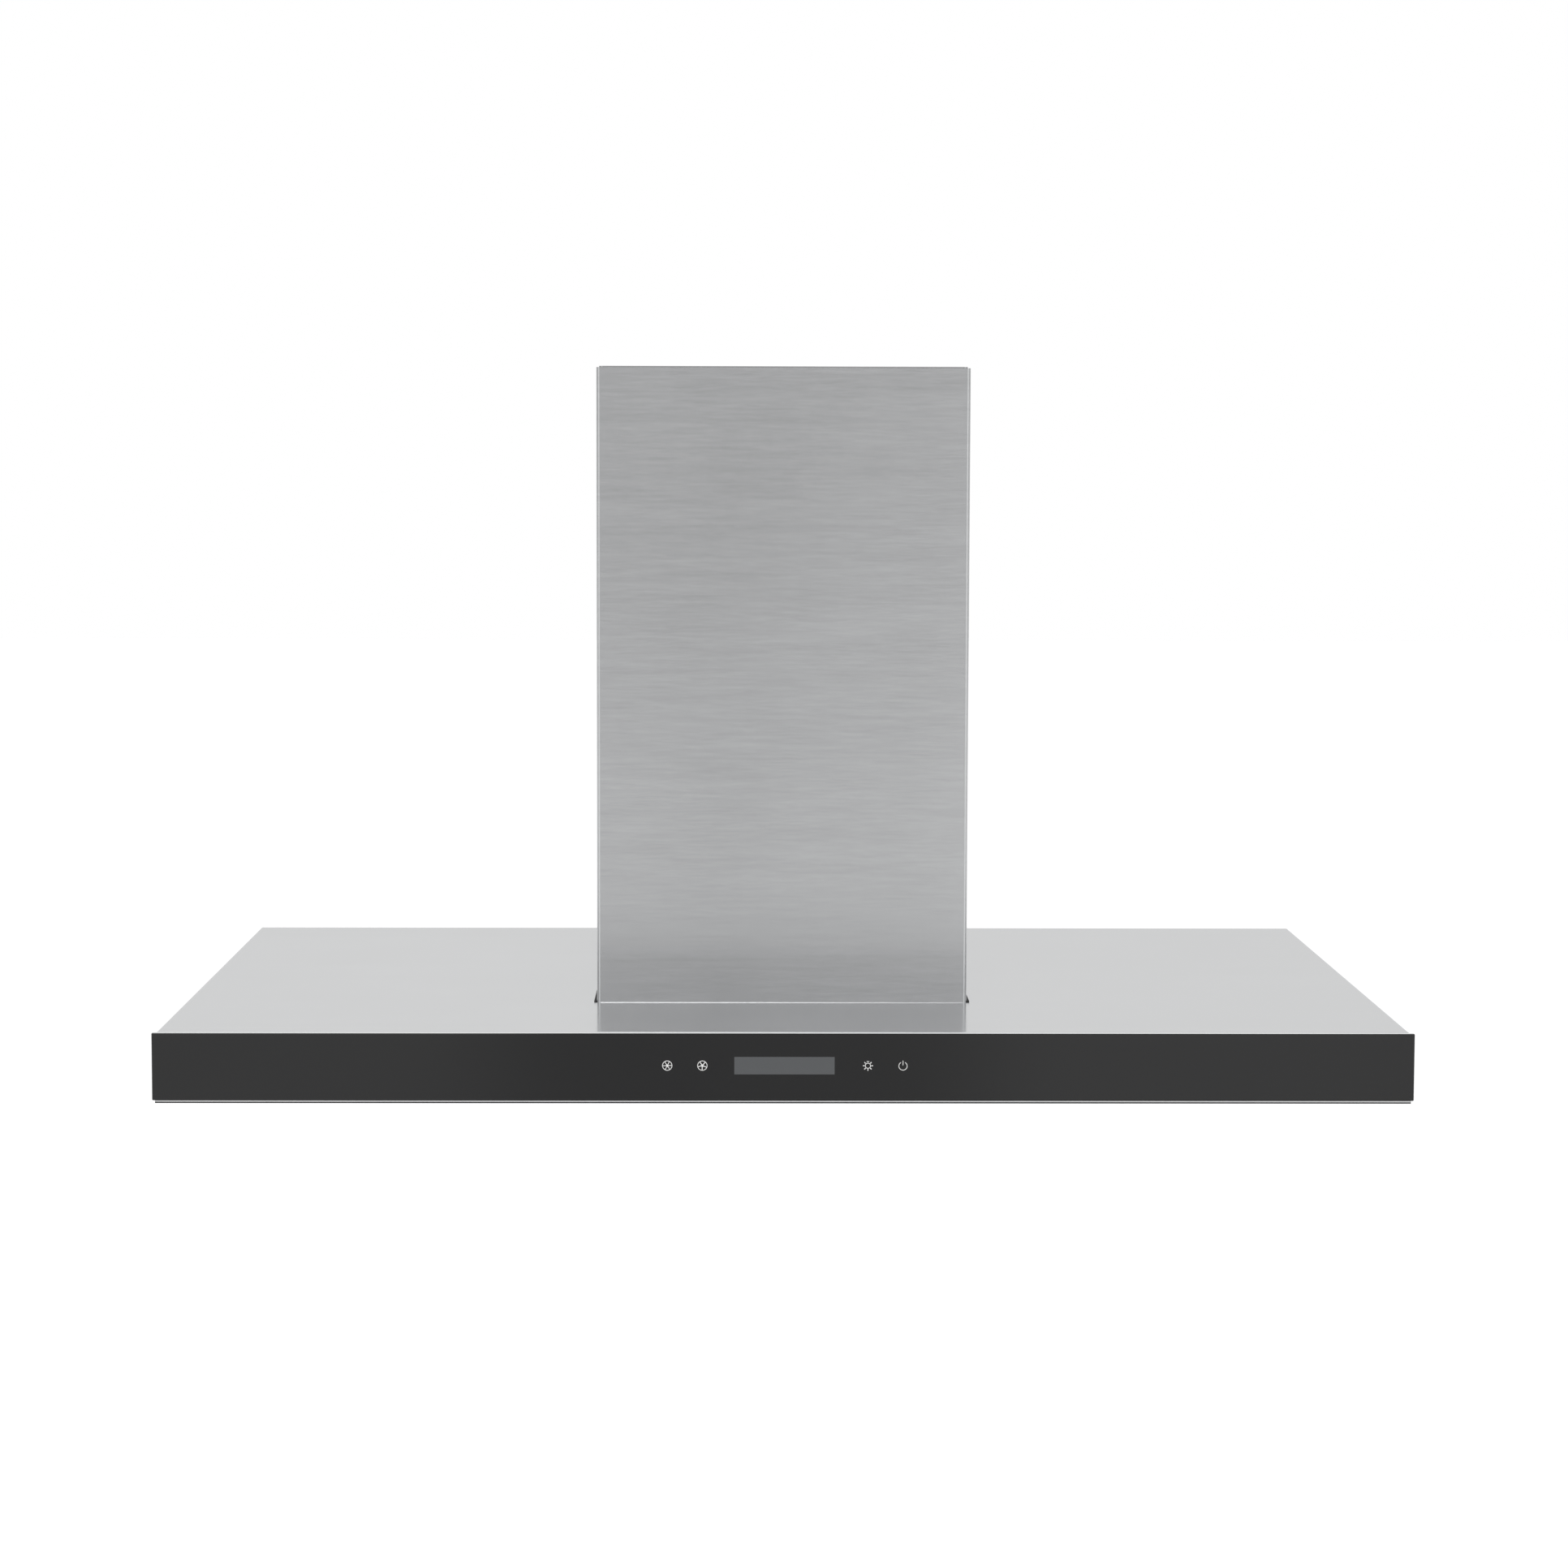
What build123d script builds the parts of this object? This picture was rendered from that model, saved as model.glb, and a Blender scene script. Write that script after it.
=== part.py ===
"""Island range hood: a flat steel canopy with a black glass front, hung on a telescopic flue.

Millimetres, +Z up. The origin is the middle of the canopy's underside, the glass front faces -Y.
"""
import os
from math import cos, radians, sin

from build123d import *

os.makedirs("parts", exist_ok=True)


def save(piece, name):
    """Label one finished piece and write it to its own file."""
    piece.part.label = name
    export_step(piece.part, f"parts/{name}.step")


# ---------------------------------------------------------------- driving dimensions
# Canopy
hood_width = 900.0        # over the glass
hood_depth = 600.0        # glass front to steel rear
canopy_height = 50.4
sheet = 1.0               # visible stainless sheet
canopy_bend = 2.0         # outside bend radius of the canopy top
rim_flange = 18.0         # return flange round the underside
glass_overhang = 2.0      # glass past the steel at each end
glass_thickness = 4.9
glass_tape_thickness = 1.0
glass_chamfer = 0.5
rail_bottom = 1.1
rail_top = 2.0            # rail below the glass
drip_setback = 0.6        # drip strip behind the face of the glass
print_height = 0.1        # enamel symbols proud of the glass

# Flue covers
flue_width = 278.0
flue_depth = 297.0
flue_top = 526.4          # ceiling height above the canopy's underside, fully retracted
flue_bend = 2.5           # outside bend radius of the covers
cover_gap = 1.0           # lower cover to upper cover, each side
cover_top_step = 1.0      # lower cover below the ceiling
cover_seam = 0.3          # between the two halves of a cover
foot_hem = 0.35           # lip along the lower cover's foot
seal_width = 2.2          # seal proud of the flue's sides
seal_height = 1.0
cover_lap = 89.0          # covers still overlap this much when drawn right out
cover_foot_gap = 6.0      # upper cover above the chassis plate's fold
cover_screw_inset = 58.5  # cover screws from the flue's front and rear

# Frame
plate_sheet = 2.0
plate_fit = 0.3           # folded plate to the cover round it
plate_flange = 18.0
leg_clearance = 6.0       # legs inside the upper cover
leg_flange = 22.0
leg_sheet = 2.0
leg_gap = 0.3             # lower leg to upper leg
bolt_radius = 3.0
bolt_clearance = 0.5
bolt_inset = 13.0         # bolt line from the leg's corner
bolt_pitch = 30.0
bolt_drop = 19.0          # upper bolt below the top of the lower leg
bolt_head = (5.0, 3.3)    # radius, height
bolt_nut = (5.8, 5.0)     # radius over corners, height
leg_top_gap = 36.0        # lower legs below the ceiling
leg_end = 12.0            # upper leg past the end of its slot
ceiling_hole_inset = (25.7, 25.2)
ceiling_hole_radius = 3.5
duct_hole_gap = 15.0      # round the duct, in the ceiling plate
cable_hole_radius = 7.0

# Blower
blower_side_gap = 8.7     # blower box to the braces
blower_end_gap = 4.2      # blower box to the clamp bolts
blower_flange = 8.0
blower_foot = 24.0        # scroll above the chassis plate
blower_sheet = 1.2
transition_height = 44.8
blade_count = 36
scroll_growth = 12.0      # radius added each quarter turn
scroll_wall = 1.5
scroll_clearance = 15.3   # scroll to the front and rear of its box
scroll_mouth = 10.0       # straight outlet past the scroll
wheel_gap = 9.0           # wheel to scroll at the tongue
wheel_side_gap = 6.0      # wheel to the sides of the scroll
tongue_step = 3.0         # tongue wall past the top of the wheel
shaft_radius = 4.0
shaft_clearance = 0.05
motor_inlet_gap = 21.0    # motor to the edge of the scroll's inlet
motor_length = 60.0
motor_tail = 40.0         # motor past the outside of the scroll
motor_wall_gap = 16.3     # motor to the box
duct_radius = 75.0        # outside of the outlet collar
collar_wall = 1.2
collar_height = 45.0

# Damper
pin_radius = 2.0
pin_height = 18.9         # above the foot of the collar
pin_clearance = 0.05
flap_thickness = 1.2
flap_gap = 1.0

# Filters
filter_height = 13.0
filter_sheet = 0.8
filter_rail = 14.0
filter_gap = 2.0          # filter to the lips of its well
filter_bottom = 8.0
well_lip = 10.0
well_divider = 20.0       # between the openings for the two filters
well_side = 84.0          # well to the canopy's ends
baffle_width = 20.0
baffle_pitch = 26.0
baffle_lip = 5.4

# Lamps
lamp_radius = 31.0
lamp_bezel = 4.0          # bezel past the housing
lamp_height = 23.0
lamp_end_inset = 118.0    # lamp centre from the canopy's end
lamp_edge_gap = 25.0      # bezel to the canopy's front or rear
lamp_well_gap = 9.0       # bezel to the filter well

# Controls on the glass, as distances from its middle
symbol_x = {"fan_low": -83.5, "fan_high": -58.5, "lamp": 59.5, "power": 84.5}
symbol_lift = 2.1         # above half the canopy's height
symbol_radius = 3.6
symbol_line = 0.45
display_width = 71.6
display_height = 12.7
display_inset = 0.4

# ---------------------------------------------------------------- worked-out places
glass_front = -hood_depth / 2 + print_height
glass_back = glass_front + glass_thickness
canopy_front = glass_back + glass_tape_thickness
canopy_rear = hood_depth / 2
canopy_depth = canopy_rear - canopy_front
canopy_mid = (canopy_rear + canopy_front) / 2
canopy_width = hood_width - 2 * glass_overhang
symbol_z = canopy_height / 2 + symbol_lift

lamp_bezel_radius = lamp_radius + lamp_bezel
well_mid = canopy_mid
well_x = canopy_width - 2 * well_side
well_y = canopy_depth - 2 * (lamp_edge_gap + 2 * lamp_bezel_radius + lamp_well_gap + sheet)
lip_x = (well_x - well_divider - 2 * well_lip) / 2
lip_y = well_y - 2 * well_lip
filter_width = lip_x - 2 * filter_gap
filter_depth = lip_y - 2 * filter_gap
filter_pitch = lip_x + well_divider

chassis_top = canopy_height + plate_sheet
lower_cover_top = flue_top - cover_top_step
lower_inside = (flue_width - 2 * sheet, flue_depth - 2 * sheet)
upper_outside = (lower_inside[0] - 2 * cover_gap, lower_inside[1] - 2 * cover_gap)
upper_inside = (upper_outside[0] - 2 * sheet, upper_outside[1] - 2 * sheet)
upper_cover_bottom = chassis_top + plate_flange + cover_foot_gap
travel = lower_cover_top - cover_lap - upper_cover_bottom

leg_x = upper_inside[0] / 2 - leg_clearance
leg_y = upper_inside[1] / 2 - leg_clearance
upper_leg_x = leg_x - leg_sheet - leg_gap
upper_leg_y = leg_y - leg_sheet - leg_gap
bolt_x = leg_x - bolt_inset
bolt_length = leg_sheet + leg_gap + leg_sheet + bolt_nut[1] + 1
lower_leg_top = flue_top - leg_top_gap
upper_bolt_z = lower_leg_top - bolt_drop
bolt_heights = (upper_bolt_z, upper_bolt_z - bolt_pitch)
slot_radius = bolt_radius + bolt_clearance
slot_top = bolt_heights[0] + slot_radius
slot_bottom = bolt_heights[1] - travel - slot_radius
upper_leg_bottom = slot_bottom - leg_end
ceiling_plate_bottom = flue_top - plate_sheet

blower_width = 2 * (upper_leg_x - 2 * leg_sheet - blower_side_gap)
blower_depth = 2 * (leg_y - bolt_length - blower_end_gap)
blower_inside = (blower_width - 2 * blower_sheet, blower_depth - 2 * blower_sheet)
scroll_half = blower_inside[0] / 2 - motor_wall_gap - motor_tail - scroll_wall
wheel_width = 2 * (scroll_half - wheel_side_gap)
scroll_radius = (blower_inside[1] - 3 * scroll_growth) / 2 - scroll_wall - scroll_clearance
wheel_radius = scroll_radius - wheel_gap
wheel_y = -1.5 * scroll_growth
wheel_z = chassis_top + blower_foot + scroll_radius + scroll_growth
tongue_y = wheel_y + tongue_step
scroll_top = wheel_z + scroll_radius + scroll_mouth
blower_top = scroll_top + transition_height + blower_sheet
inlet_radius = wheel_radius - 14
motor_radius = inlet_radius - motor_inlet_gap
pin_z = blower_top + pin_height

corners = {"front_left": (-1, -1), "front_right": (1, -1), "rear_left": (-1, 1), "rear_right": (1, 1)}
sides = {"left": -1, "right": 1}
halves = {"front": -1, "rear": 1}


# ---------------------------------------------------------------- ceiling frame
# Folded plate that is screwed to the ceiling, with holes for the duct, the mains lead and four screws.
plate_x = upper_inside[0] - 2 * plate_fit
plate_y = upper_inside[1] - 2 * plate_fit
ceiling_hole_spacing = (plate_x - 2 * ceiling_hole_inset[0], plate_y - 2 * ceiling_hole_inset[1])
gland_spot = (blower_width / 2 - 20, blower_depth / 2 - 30)
cover_screw_y = flue_depth / 2 - cover_screw_inset
cover_screw_spots = [(side, y) for side in (-1, 1) for y in (-cover_screw_y, cover_screw_y)]
cover_screw_radius = 2.0
cover_screw_head = 3.6
upper_screw_z = flue_top - 10

with BuildPart() as ceiling_plate:
    with BuildSketch(Plane.XY.offset(flue_top - plate_flange)):
        RectangleRounded(plate_x, plate_y, flue_bend)
    extrude(amount=plate_flange)
    with BuildSketch(Plane.XY.offset(flue_top - plate_flange)):
        Rectangle(plate_x - 2 * plate_sheet, plate_y - 2 * plate_sheet)
    extrude(amount=plate_flange - plate_sheet, mode=Mode.SUBTRACT)
    with BuildSketch(Plane.XY.offset(flue_top)):
        Circle(duct_radius + duct_hole_gap)
        with GridLocations(*ceiling_hole_spacing, 2, 2):
            Circle(ceiling_hole_radius)
        with Locations(gland_spot):
            Circle(cable_hole_radius)
    extrude(amount=-plate_sheet, mode=Mode.SUBTRACT)
    with Locations([(side * plate_x / 2, y, upper_screw_z) for side, y in cover_screw_spots]):
        Cylinder(cover_screw_radius, 4 * plate_sheet, rotation=(0, 90, 0), mode=Mode.SUBTRACT)
save(ceiling_plate, "ceiling_plate")


def leg_profile(corner_x, corner_y, side_x, side_y):
    """Angle profile whose outside corner is at the given distances, in the given quarter."""
    with Locations((side_x * (corner_x - leg_flange / 2), side_y * (corner_y - leg_sheet / 2))):
        Rectangle(leg_flange, leg_sheet)
    with Locations((side_x * (corner_x - leg_sheet / 2), side_y * (corner_y - leg_flange / 2))):
        Rectangle(leg_sheet, leg_flange)


# Upper legs: steel angles under the ceiling plate, each with one long slot for the clamp bolts.
for corner, (side_x, side_y) in corners.items():
    with BuildPart() as upper_leg:
        with BuildSketch(Plane.XY.offset(upper_leg_bottom)):
            leg_profile(upper_leg_x, upper_leg_y, side_x, side_y)
        extrude(amount=ceiling_plate_bottom - upper_leg_bottom)
        with BuildSketch(Plane.XZ.offset(-side_y * upper_leg_y)):
            with Locations((side_x * bolt_x, (slot_top + slot_bottom) / 2)):
                SlotOverall(slot_top - slot_bottom, 2 * slot_radius, rotation=90)
        extrude(amount=2 * leg_sheet, both=True, mode=Mode.SUBTRACT)
    save(upper_leg, f"upper_leg_{corner}")

# Flat bars that join the upper legs front to rear.
brace_height = 20.0
upper_brace_z = ceiling_plate_bottom - 143
with BuildPart() as upper_braces:
    for side in sides.values():
        with Locations((side * (upper_leg_x - 1.5 * leg_sheet), 0, upper_brace_z + brace_height / 2)):
            Box(leg_sheet, 2 * (upper_leg_y - leg_sheet), brace_height)
save(upper_braces, "upper_braces")


def cover_half(outside, bottom, top, side_y, screw_z, hem=0):
    """One C-shaped half of a flue cover, bent from sheet, with screw holes and perhaps a hem at its foot."""
    width, depth = outside
    with BuildPart() as half:
        with BuildSketch(Plane.XY.offset(bottom)):
            Rectangle(width, depth)
            fillet(vertices(), flue_bend)
            offset(amount=-sheet, mode=Mode.SUBTRACT)
            with Locations((0, -side_y * (depth / 2 - cover_seam / 4))):
                Rectangle(2 * width, depth + cover_seam / 2, mode=Mode.SUBTRACT)
        extrude(amount=top - bottom)
        if hem:
            with BuildSketch(Plane.XY.offset(bottom)):
                with Locations((0, side_y * depth / 2)):
                    Rectangle(width - 2 * flue_bend, 2 * hem)
            extrude(amount=hem, taper=30)
        for side, y in cover_screw_spots:
            if y * side_y > 0:
                with Locations(Plane(origin=(side * width / 2, y, screw_z), z_dir=(side, 0, 0))):
                    Cylinder(cover_screw_head + 0.1, 3 * sheet, mode=Mode.SUBTRACT)
    return half


def cover_screws(outside, screw_z, grip):
    """Countersunk screws whose heads sit flush in the cover and whose shanks run into the plate."""
    with BuildPart() as screws:
        for side, y in cover_screw_spots:
            face = Plane(origin=(side * outside[0] / 2, y, screw_z), z_dir=(side, 0, 0))
            with Locations(face.offset(-sheet / 2)):
                Cylinder(cover_screw_head, sheet)
            with Locations(face.offset(-sheet - grip / 2)):
                Cylinder(cover_screw_radius - 0.05, grip)
    return screws


for name, side_y in halves.items():
    upper_cover = cover_half(upper_outside, upper_cover_bottom, flue_top, side_y, upper_screw_z)
    save(upper_cover, f"upper_cover_{name}")
save(cover_screws(upper_outside, upper_screw_z, 6), "upper_cover_screws")

# ---------------------------------------------------------------- hood frame
# Chassis plate: lies on the canopy top inside the flue and is folded up on all sides.
chassis_x = lower_inside[0] - 2 * plate_fit
chassis_y = lower_inside[1] - 2 * plate_fit
lower_screw_z = canopy_height + 10
air_hole = (blower_width - 20, blower_depth - 20)
chassis_screw_radius = 2.5
chassis_screw_spots = (2 * (leg_x - 30), 2 * (blower_depth / 2 + 13))

with BuildPart() as chassis_plate:
    with BuildSketch(Plane.XY.offset(canopy_height)):
        RectangleRounded(chassis_x, chassis_y, flue_bend)
    extrude(amount=plate_flange + plate_sheet)
    with BuildSketch(Plane.XY.offset(chassis_top)):
        Rectangle(chassis_x - 2 * plate_sheet, chassis_y - 2 * plate_sheet)
    extrude(amount=plate_flange, mode=Mode.SUBTRACT)
    with BuildSketch(Plane.XY.offset(canopy_height)):
        Rectangle(*air_hole)
        with GridLocations(*chassis_screw_spots, 2, 2):
            Circle(chassis_screw_radius)
    extrude(amount=plate_sheet, mode=Mode.SUBTRACT)
    with Locations([(side * chassis_x / 2, y, lower_screw_z) for side, y in cover_screw_spots]):
        Cylinder(cover_screw_radius, 4 * plate_sheet, rotation=(0, 90, 0), mode=Mode.SUBTRACT)
save(chassis_plate, "chassis_plate")

# Screws from the chassis plate down through the canopy top.
with BuildPart() as chassis_screws:
    with BuildSketch(Plane.XY.offset(chassis_top)):
        with GridLocations(*chassis_screw_spots, 2, 2):
            RegularPolygon(4.6, 6)
    extrude(amount=3.5)
    with BuildSketch(Plane.XY.offset(chassis_top)):
        with GridLocations(*chassis_screw_spots, 2, 2):
            Circle(chassis_screw_radius - 0.05)
    extrude(amount=-(plate_sheet + 6))
save(chassis_screws, "chassis_screws")

# Lower legs: steel angles that stand on the chassis plate and lap outside the upper legs.
for corner, (side_x, side_y) in corners.items():
    with BuildPart() as lower_leg:
        with BuildSketch(Plane.XY.offset(chassis_top)):
            leg_profile(leg_x, leg_y, side_x, side_y)
        extrude(amount=lower_leg_top - chassis_top)
        with Locations([(side_x * bolt_x, side_y * leg_y, z) for z in bolt_heights]):
            Cylinder(bolt_radius + 0.1, 4 * leg_sheet, rotation=(90, 0, 0), mode=Mode.SUBTRACT)
    save(lower_leg, f"lower_leg_{corner}")

# Band of flat bar round the lower legs.
band_z = lower_leg_top - 94
band_sheet = 1.5
with BuildPart() as brace_band:
    with BuildSketch(Plane.XY.offset(band_z)):
        Rectangle(2 * (leg_x + band_sheet), 2 * (leg_y + band_sheet))
        Rectangle(2 * leg_x, 2 * leg_y, mode=Mode.SUBTRACT)
    extrude(amount=brace_height)
save(brace_band, "brace_band")

# Clamp bolts and nuts: they pass through the lower legs and the slots of the upper legs.
with BuildPart() as clamp_bolts:
    for side_x, side_y in corners.values():
        for z in bolt_heights:
            face = Plane(origin=(side_x * bolt_x, side_y * leg_y, z), z_dir=(0, side_y, 0))
            with Locations(face.offset(bolt_head[1] / 2)):
                Cylinder(bolt_head[0], bolt_head[1])
            with Locations(face.offset(-bolt_length / 2)):
                Cylinder(bolt_radius, bolt_length)
save(clamp_bolts, "clamp_bolts")

with BuildPart() as clamp_nuts:
    for side_x, side_y in corners.values():
        for z in bolt_heights:
            inner_face = side_y * (upper_leg_y - leg_sheet)
            with BuildSketch(Plane(origin=(side_x * bolt_x, inner_face, z), z_dir=(0, -side_y, 0))):
                RegularPolygon(bolt_nut[0], 6)
                Circle(bolt_radius + shaft_clearance, mode=Mode.SUBTRACT)
            extrude(amount=bolt_nut[1])
save(clamp_nuts, "clamp_nuts")

lower_outside = (flue_width, flue_depth)
for name, side_y in halves.items():
    lower_cover = cover_half(lower_outside, canopy_height, lower_cover_top, side_y, lower_screw_z, foot_hem)
    save(lower_cover, f"lower_cover_{name}")
save(cover_screws(lower_outside, lower_screw_z, 6), "lower_cover_screws")

# Flat rubber seals along both sides of the flue's foot.
with BuildPart() as base_seals:
    with BuildSketch(Plane.XY.offset(canopy_height)):
        for side in sides.values():
            with Locations((side * (flue_width + seal_width) / 2, 0)):
                Rectangle(seal_width, flue_depth - 2 * flue_bend)
    extrude(amount=seal_height)
save(base_seals, "base_seals")


# ---------------------------------------------------------------- canopy
# Folded steel shell, open below, with a return flange.
window_width = 200.0      # opening behind the controls
window_height = 26.0
panel_screw_x = (canopy_width - rim_flange) / 2
panel_screw_y = (canopy_front + rim_flange / 2, canopy_rear - rim_flange / 2)
panel_screw_spots = [(x, y) for x in (-panel_screw_x, 0, panel_screw_x) for y in panel_screw_y]
panel_screw_radius = 1.6

with BuildPart() as canopy_shell:
    with Locations((0, canopy_mid, 0)):
        Box(canopy_width, canopy_depth, canopy_height, align=(Align.CENTER, Align.CENTER, Align.MIN))
    fillet(canopy_shell.edges().group_by(Axis.Z)[-1], canopy_bend)
    offset(amount=-sheet, openings=canopy_shell.faces().sort_by(Axis.Z)[0])
    with BuildSketch(Plane.XY):
        with Locations((0, canopy_mid)):
            Rectangle(canopy_width, canopy_depth)
            Rectangle(canopy_width - 2 * rim_flange, canopy_depth - 2 * rim_flange, mode=Mode.SUBTRACT)
    extrude(amount=sheet)
    with BuildSketch(Plane.XY.offset(canopy_height)):
        Rectangle(*air_hole)
        with GridLocations(*chassis_screw_spots, 2, 2):
            Circle(chassis_screw_radius)
    extrude(amount=-2 * sheet, mode=Mode.SUBTRACT)
    with BuildSketch(Plane.XZ.offset(-canopy_front)):
        with Locations((0, symbol_z)):
            Rectangle(window_width, window_height)
    extrude(amount=2 * sheet, both=True, mode=Mode.SUBTRACT)
    with Locations([(x, y, sheet) for x, y in panel_screw_spots]):
        Cylinder(panel_screw_radius, 4 * sheet, mode=Mode.SUBTRACT)
save(canopy_shell, "canopy_shell")

# Bottom panel: lies on the return flange, with four lamp holes and a raised well for the filters.
panel_fit = 0.5
panel_x = canopy_width - 2 * sheet - 2 * panel_fit
panel_y = canopy_depth - 2 * sheet - 2 * panel_fit
lip_top = filter_bottom + sheet
lamp_x = canopy_width / 2 - lamp_end_inset
lamp_y = canopy_depth / 2 - lamp_edge_gap - lamp_bezel_radius
lamp_spots = {name: (sx * lamp_x, canopy_mid + sy * lamp_y) for name, (sx, sy) in corners.items()}

with BuildPart() as bottom_panel:
    with BuildSketch(Plane.XY.offset(sheet)):
        with Locations((0, canopy_mid)):
            Rectangle(panel_x, panel_y)
        with Locations((0, well_mid)):
            Rectangle(well_x, well_y, mode=Mode.SUBTRACT)
        with Locations(list(lamp_spots.values())):
            Circle(lamp_radius + 0.5, mode=Mode.SUBTRACT)
        with Locations(panel_screw_spots):
            Circle(panel_screw_radius, mode=Mode.SUBTRACT)
    extrude(amount=sheet)
    with BuildSketch(Plane.XY.offset(sheet)):
        with Locations((0, well_mid)):
            Rectangle(well_x + 2 * sheet, well_y + 2 * sheet)
            Rectangle(well_x, well_y, mode=Mode.SUBTRACT)
    extrude(amount=lip_top - sheet)
    with BuildSketch(Plane.XY.offset(filter_bottom)):
        with Locations((0, well_mid)):
            Rectangle(well_x, well_y)
            with GridLocations(filter_pitch, 1, 2, 1):
                Rectangle(lip_x, lip_y, mode=Mode.SUBTRACT)
    extrude(amount=sheet)
save(bottom_panel, "bottom_panel")

# Countersunk screws that hold the bottom panel to the return flange.
with BuildPart() as panel_screws:
    with BuildSketch(Plane.XY.offset(0.1)):
        with Locations(panel_screw_spots):
            Circle(panel_screw_radius - 0.05)
    extrude(amount=6)
save(panel_screws, "panel_screws")

# Front glass with polished edges and a shallow seat for the display window.
with BuildPart() as front_glass:
    with BuildSketch(Plane.XZ.offset(-glass_back)):
        with Locations((0, (canopy_height + rail_top) / 2)):
            Rectangle(hood_width, canopy_height - rail_top)
    extrude(amount=glass_thickness)
    chamfer(front_glass.faces().sort_by(Axis.Y)[0].edges(), glass_chamfer)
    with BuildSketch(Plane.XZ.offset(-glass_front)):
        with Locations((0, symbol_z)):
            Rectangle(display_width, display_height)
    extrude(amount=-display_inset, mode=Mode.SUBTRACT)
save(front_glass, "front_glass")

# Tinted display window, set in the glass and level with it.
with BuildPart() as display_window:
    with BuildSketch(Plane.XZ.offset(-glass_front)):
        with Locations((0, symbol_z)):
            Rectangle(display_width - 0.1, display_height - 0.1)
    extrude(amount=-display_inset)
save(display_window, "display_window")

# Steel rail that carries the glass along its lower edge.
with BuildPart() as glass_rail:
    with BuildSketch(Plane.XY.offset(rail_bottom)):
        with Locations((0, (canopy_front + glass_front) / 2)):
            Rectangle(canopy_width, canopy_front - glass_front)
    extrude(amount=rail_top - rail_bottom)
save(glass_rail, "glass_rail")

# Two runs of mounting tape between the glass and the canopy, and a foam drip strip under the rail.
tape_width = 7.0
with BuildPart() as glass_tape:
    with BuildSketch(Plane.XZ.offset(-glass_back)):
        with Locations((0, rail_top + tape_width / 2 + 1), (0, canopy_height - tape_width / 2 - 2.5)):
            Rectangle(canopy_width - 10, tape_width)
    extrude(amount=-glass_tape_thickness)
    with BuildSketch(Plane.XY):
        with Locations((0, (canopy_front + glass_front + drip_setback) / 2)):
            Rectangle(canopy_width, canopy_front - glass_front - drip_setback)
    extrude(amount=rail_bottom)
save(glass_tape, "glass_tape")

# Touch symbols, printed on the glass: two fans, a lamp and the power sign.
def ring(middle, radius):
    """Printed circle line."""
    with Locations((middle, symbol_z)):
        Circle(radius)
        Circle(radius - symbol_line, mode=Mode.SUBTRACT)


def fan_symbol(middle, blade_total, line):
    """Ring with curved blades that run from the hub to the ring."""
    ring(middle, symbol_radius)
    hub = symbol_radius * 0.16
    tip = symbol_radius - symbol_line / 2
    for blade in range(blade_total):
        root_angle = 90 + 360 / blade_total * blade
        points = [
            (middle + reach * cos(radians(root_angle + turn)), symbol_z + reach * sin(radians(root_angle + turn)))
            for reach, turn in ((hub, 0), (0.55 * tip, 34), (tip, 30))
        ]
        with BuildLine() as blade_line:
            ThreePointArc(*points)
        trace(blade_line.edges(), line)
    with Locations((middle, symbol_z)):
        Circle(hub + line / 2)


def lamp_symbol(middle):
    """Round lamp with a small cap on top and rays round it."""
    ring(middle, symbol_radius * 0.58)
    ray = symbol_radius * 0.82
    for ray_angle in (0, 45, 135, 180, 225, 270, 315):
        spot = (middle + ray * cos(radians(ray_angle)), symbol_z + ray * sin(radians(ray_angle)))
        with Locations(spot):
            Rectangle(symbol_radius * 0.36, symbol_line * 1.4, rotation=ray_angle)
    with Locations((middle, symbol_z + symbol_radius * 0.86)):
        Rectangle(symbol_radius * 0.5, symbol_line)


def power_symbol(middle):
    """Broken ring with an upright bar in its gap."""
    with BuildLine() as sign:
        CenterArc((middle, symbol_z - 0.2), symbol_radius * 0.82, 120, 300)
    trace(sign.edges(), symbol_line)
    with Locations((middle, symbol_z + symbol_radius * 0.55)):
        Rectangle(symbol_line, symbol_radius * 0.95)


with BuildPart() as control_symbols:
    with BuildSketch(Plane.XZ.offset(-glass_front)):
        fan_symbol(symbol_x["fan_low"], 6, symbol_line)
        fan_symbol(symbol_x["fan_high"], 5, symbol_line * 1.3)
        lamp_symbol(symbol_x["lamp"])
        power_symbol(symbol_x["power"])
    extrude(amount=print_height)
save(control_symbols, "control_symbols")

# Control box: plastic tray behind the window, open towards the glass.
box_wall = 2.0
box_depth = 27.0
box_width = window_width + 16
box_height = canopy_height - 11
box_front = canopy_front + sheet
with BuildPart() as control_box:
    with BuildSketch(Plane.XZ.offset(-box_front)):
        with Locations((0, symbol_z)):
            Rectangle(box_width, box_height)
    extrude(amount=-box_depth)
    with BuildSketch(Plane.XZ.offset(-box_front)):
        with Locations((0, symbol_z)):
            Rectangle(box_width - 2 * box_wall, box_height - 2 * box_wall)
    extrude(amount=-(box_depth - box_wall), mode=Mode.SUBTRACT)
save(control_box, "control_box")

# Touch board inside the box, with the display module and one touch spring for each symbol on its face.
board_front = box_front + 3
with BuildPart() as touch_board:
    with BuildSketch(Plane.XZ.offset(-board_front)):
        with Locations((0, symbol_z)):
            Rectangle(box_width - 2 * box_wall - 1, box_height - 2 * box_wall - 1)
    extrude(amount=-1.6)
save(touch_board, "touch_board")

with BuildPart() as display_module:
    with BuildSketch(Plane.XZ.offset(-board_front)):
        with Locations((0, symbol_z)):
            Rectangle(display_width + 4, display_height + 4)
    extrude(amount=board_front - glass_back)
save(display_module, "display_module")

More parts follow.
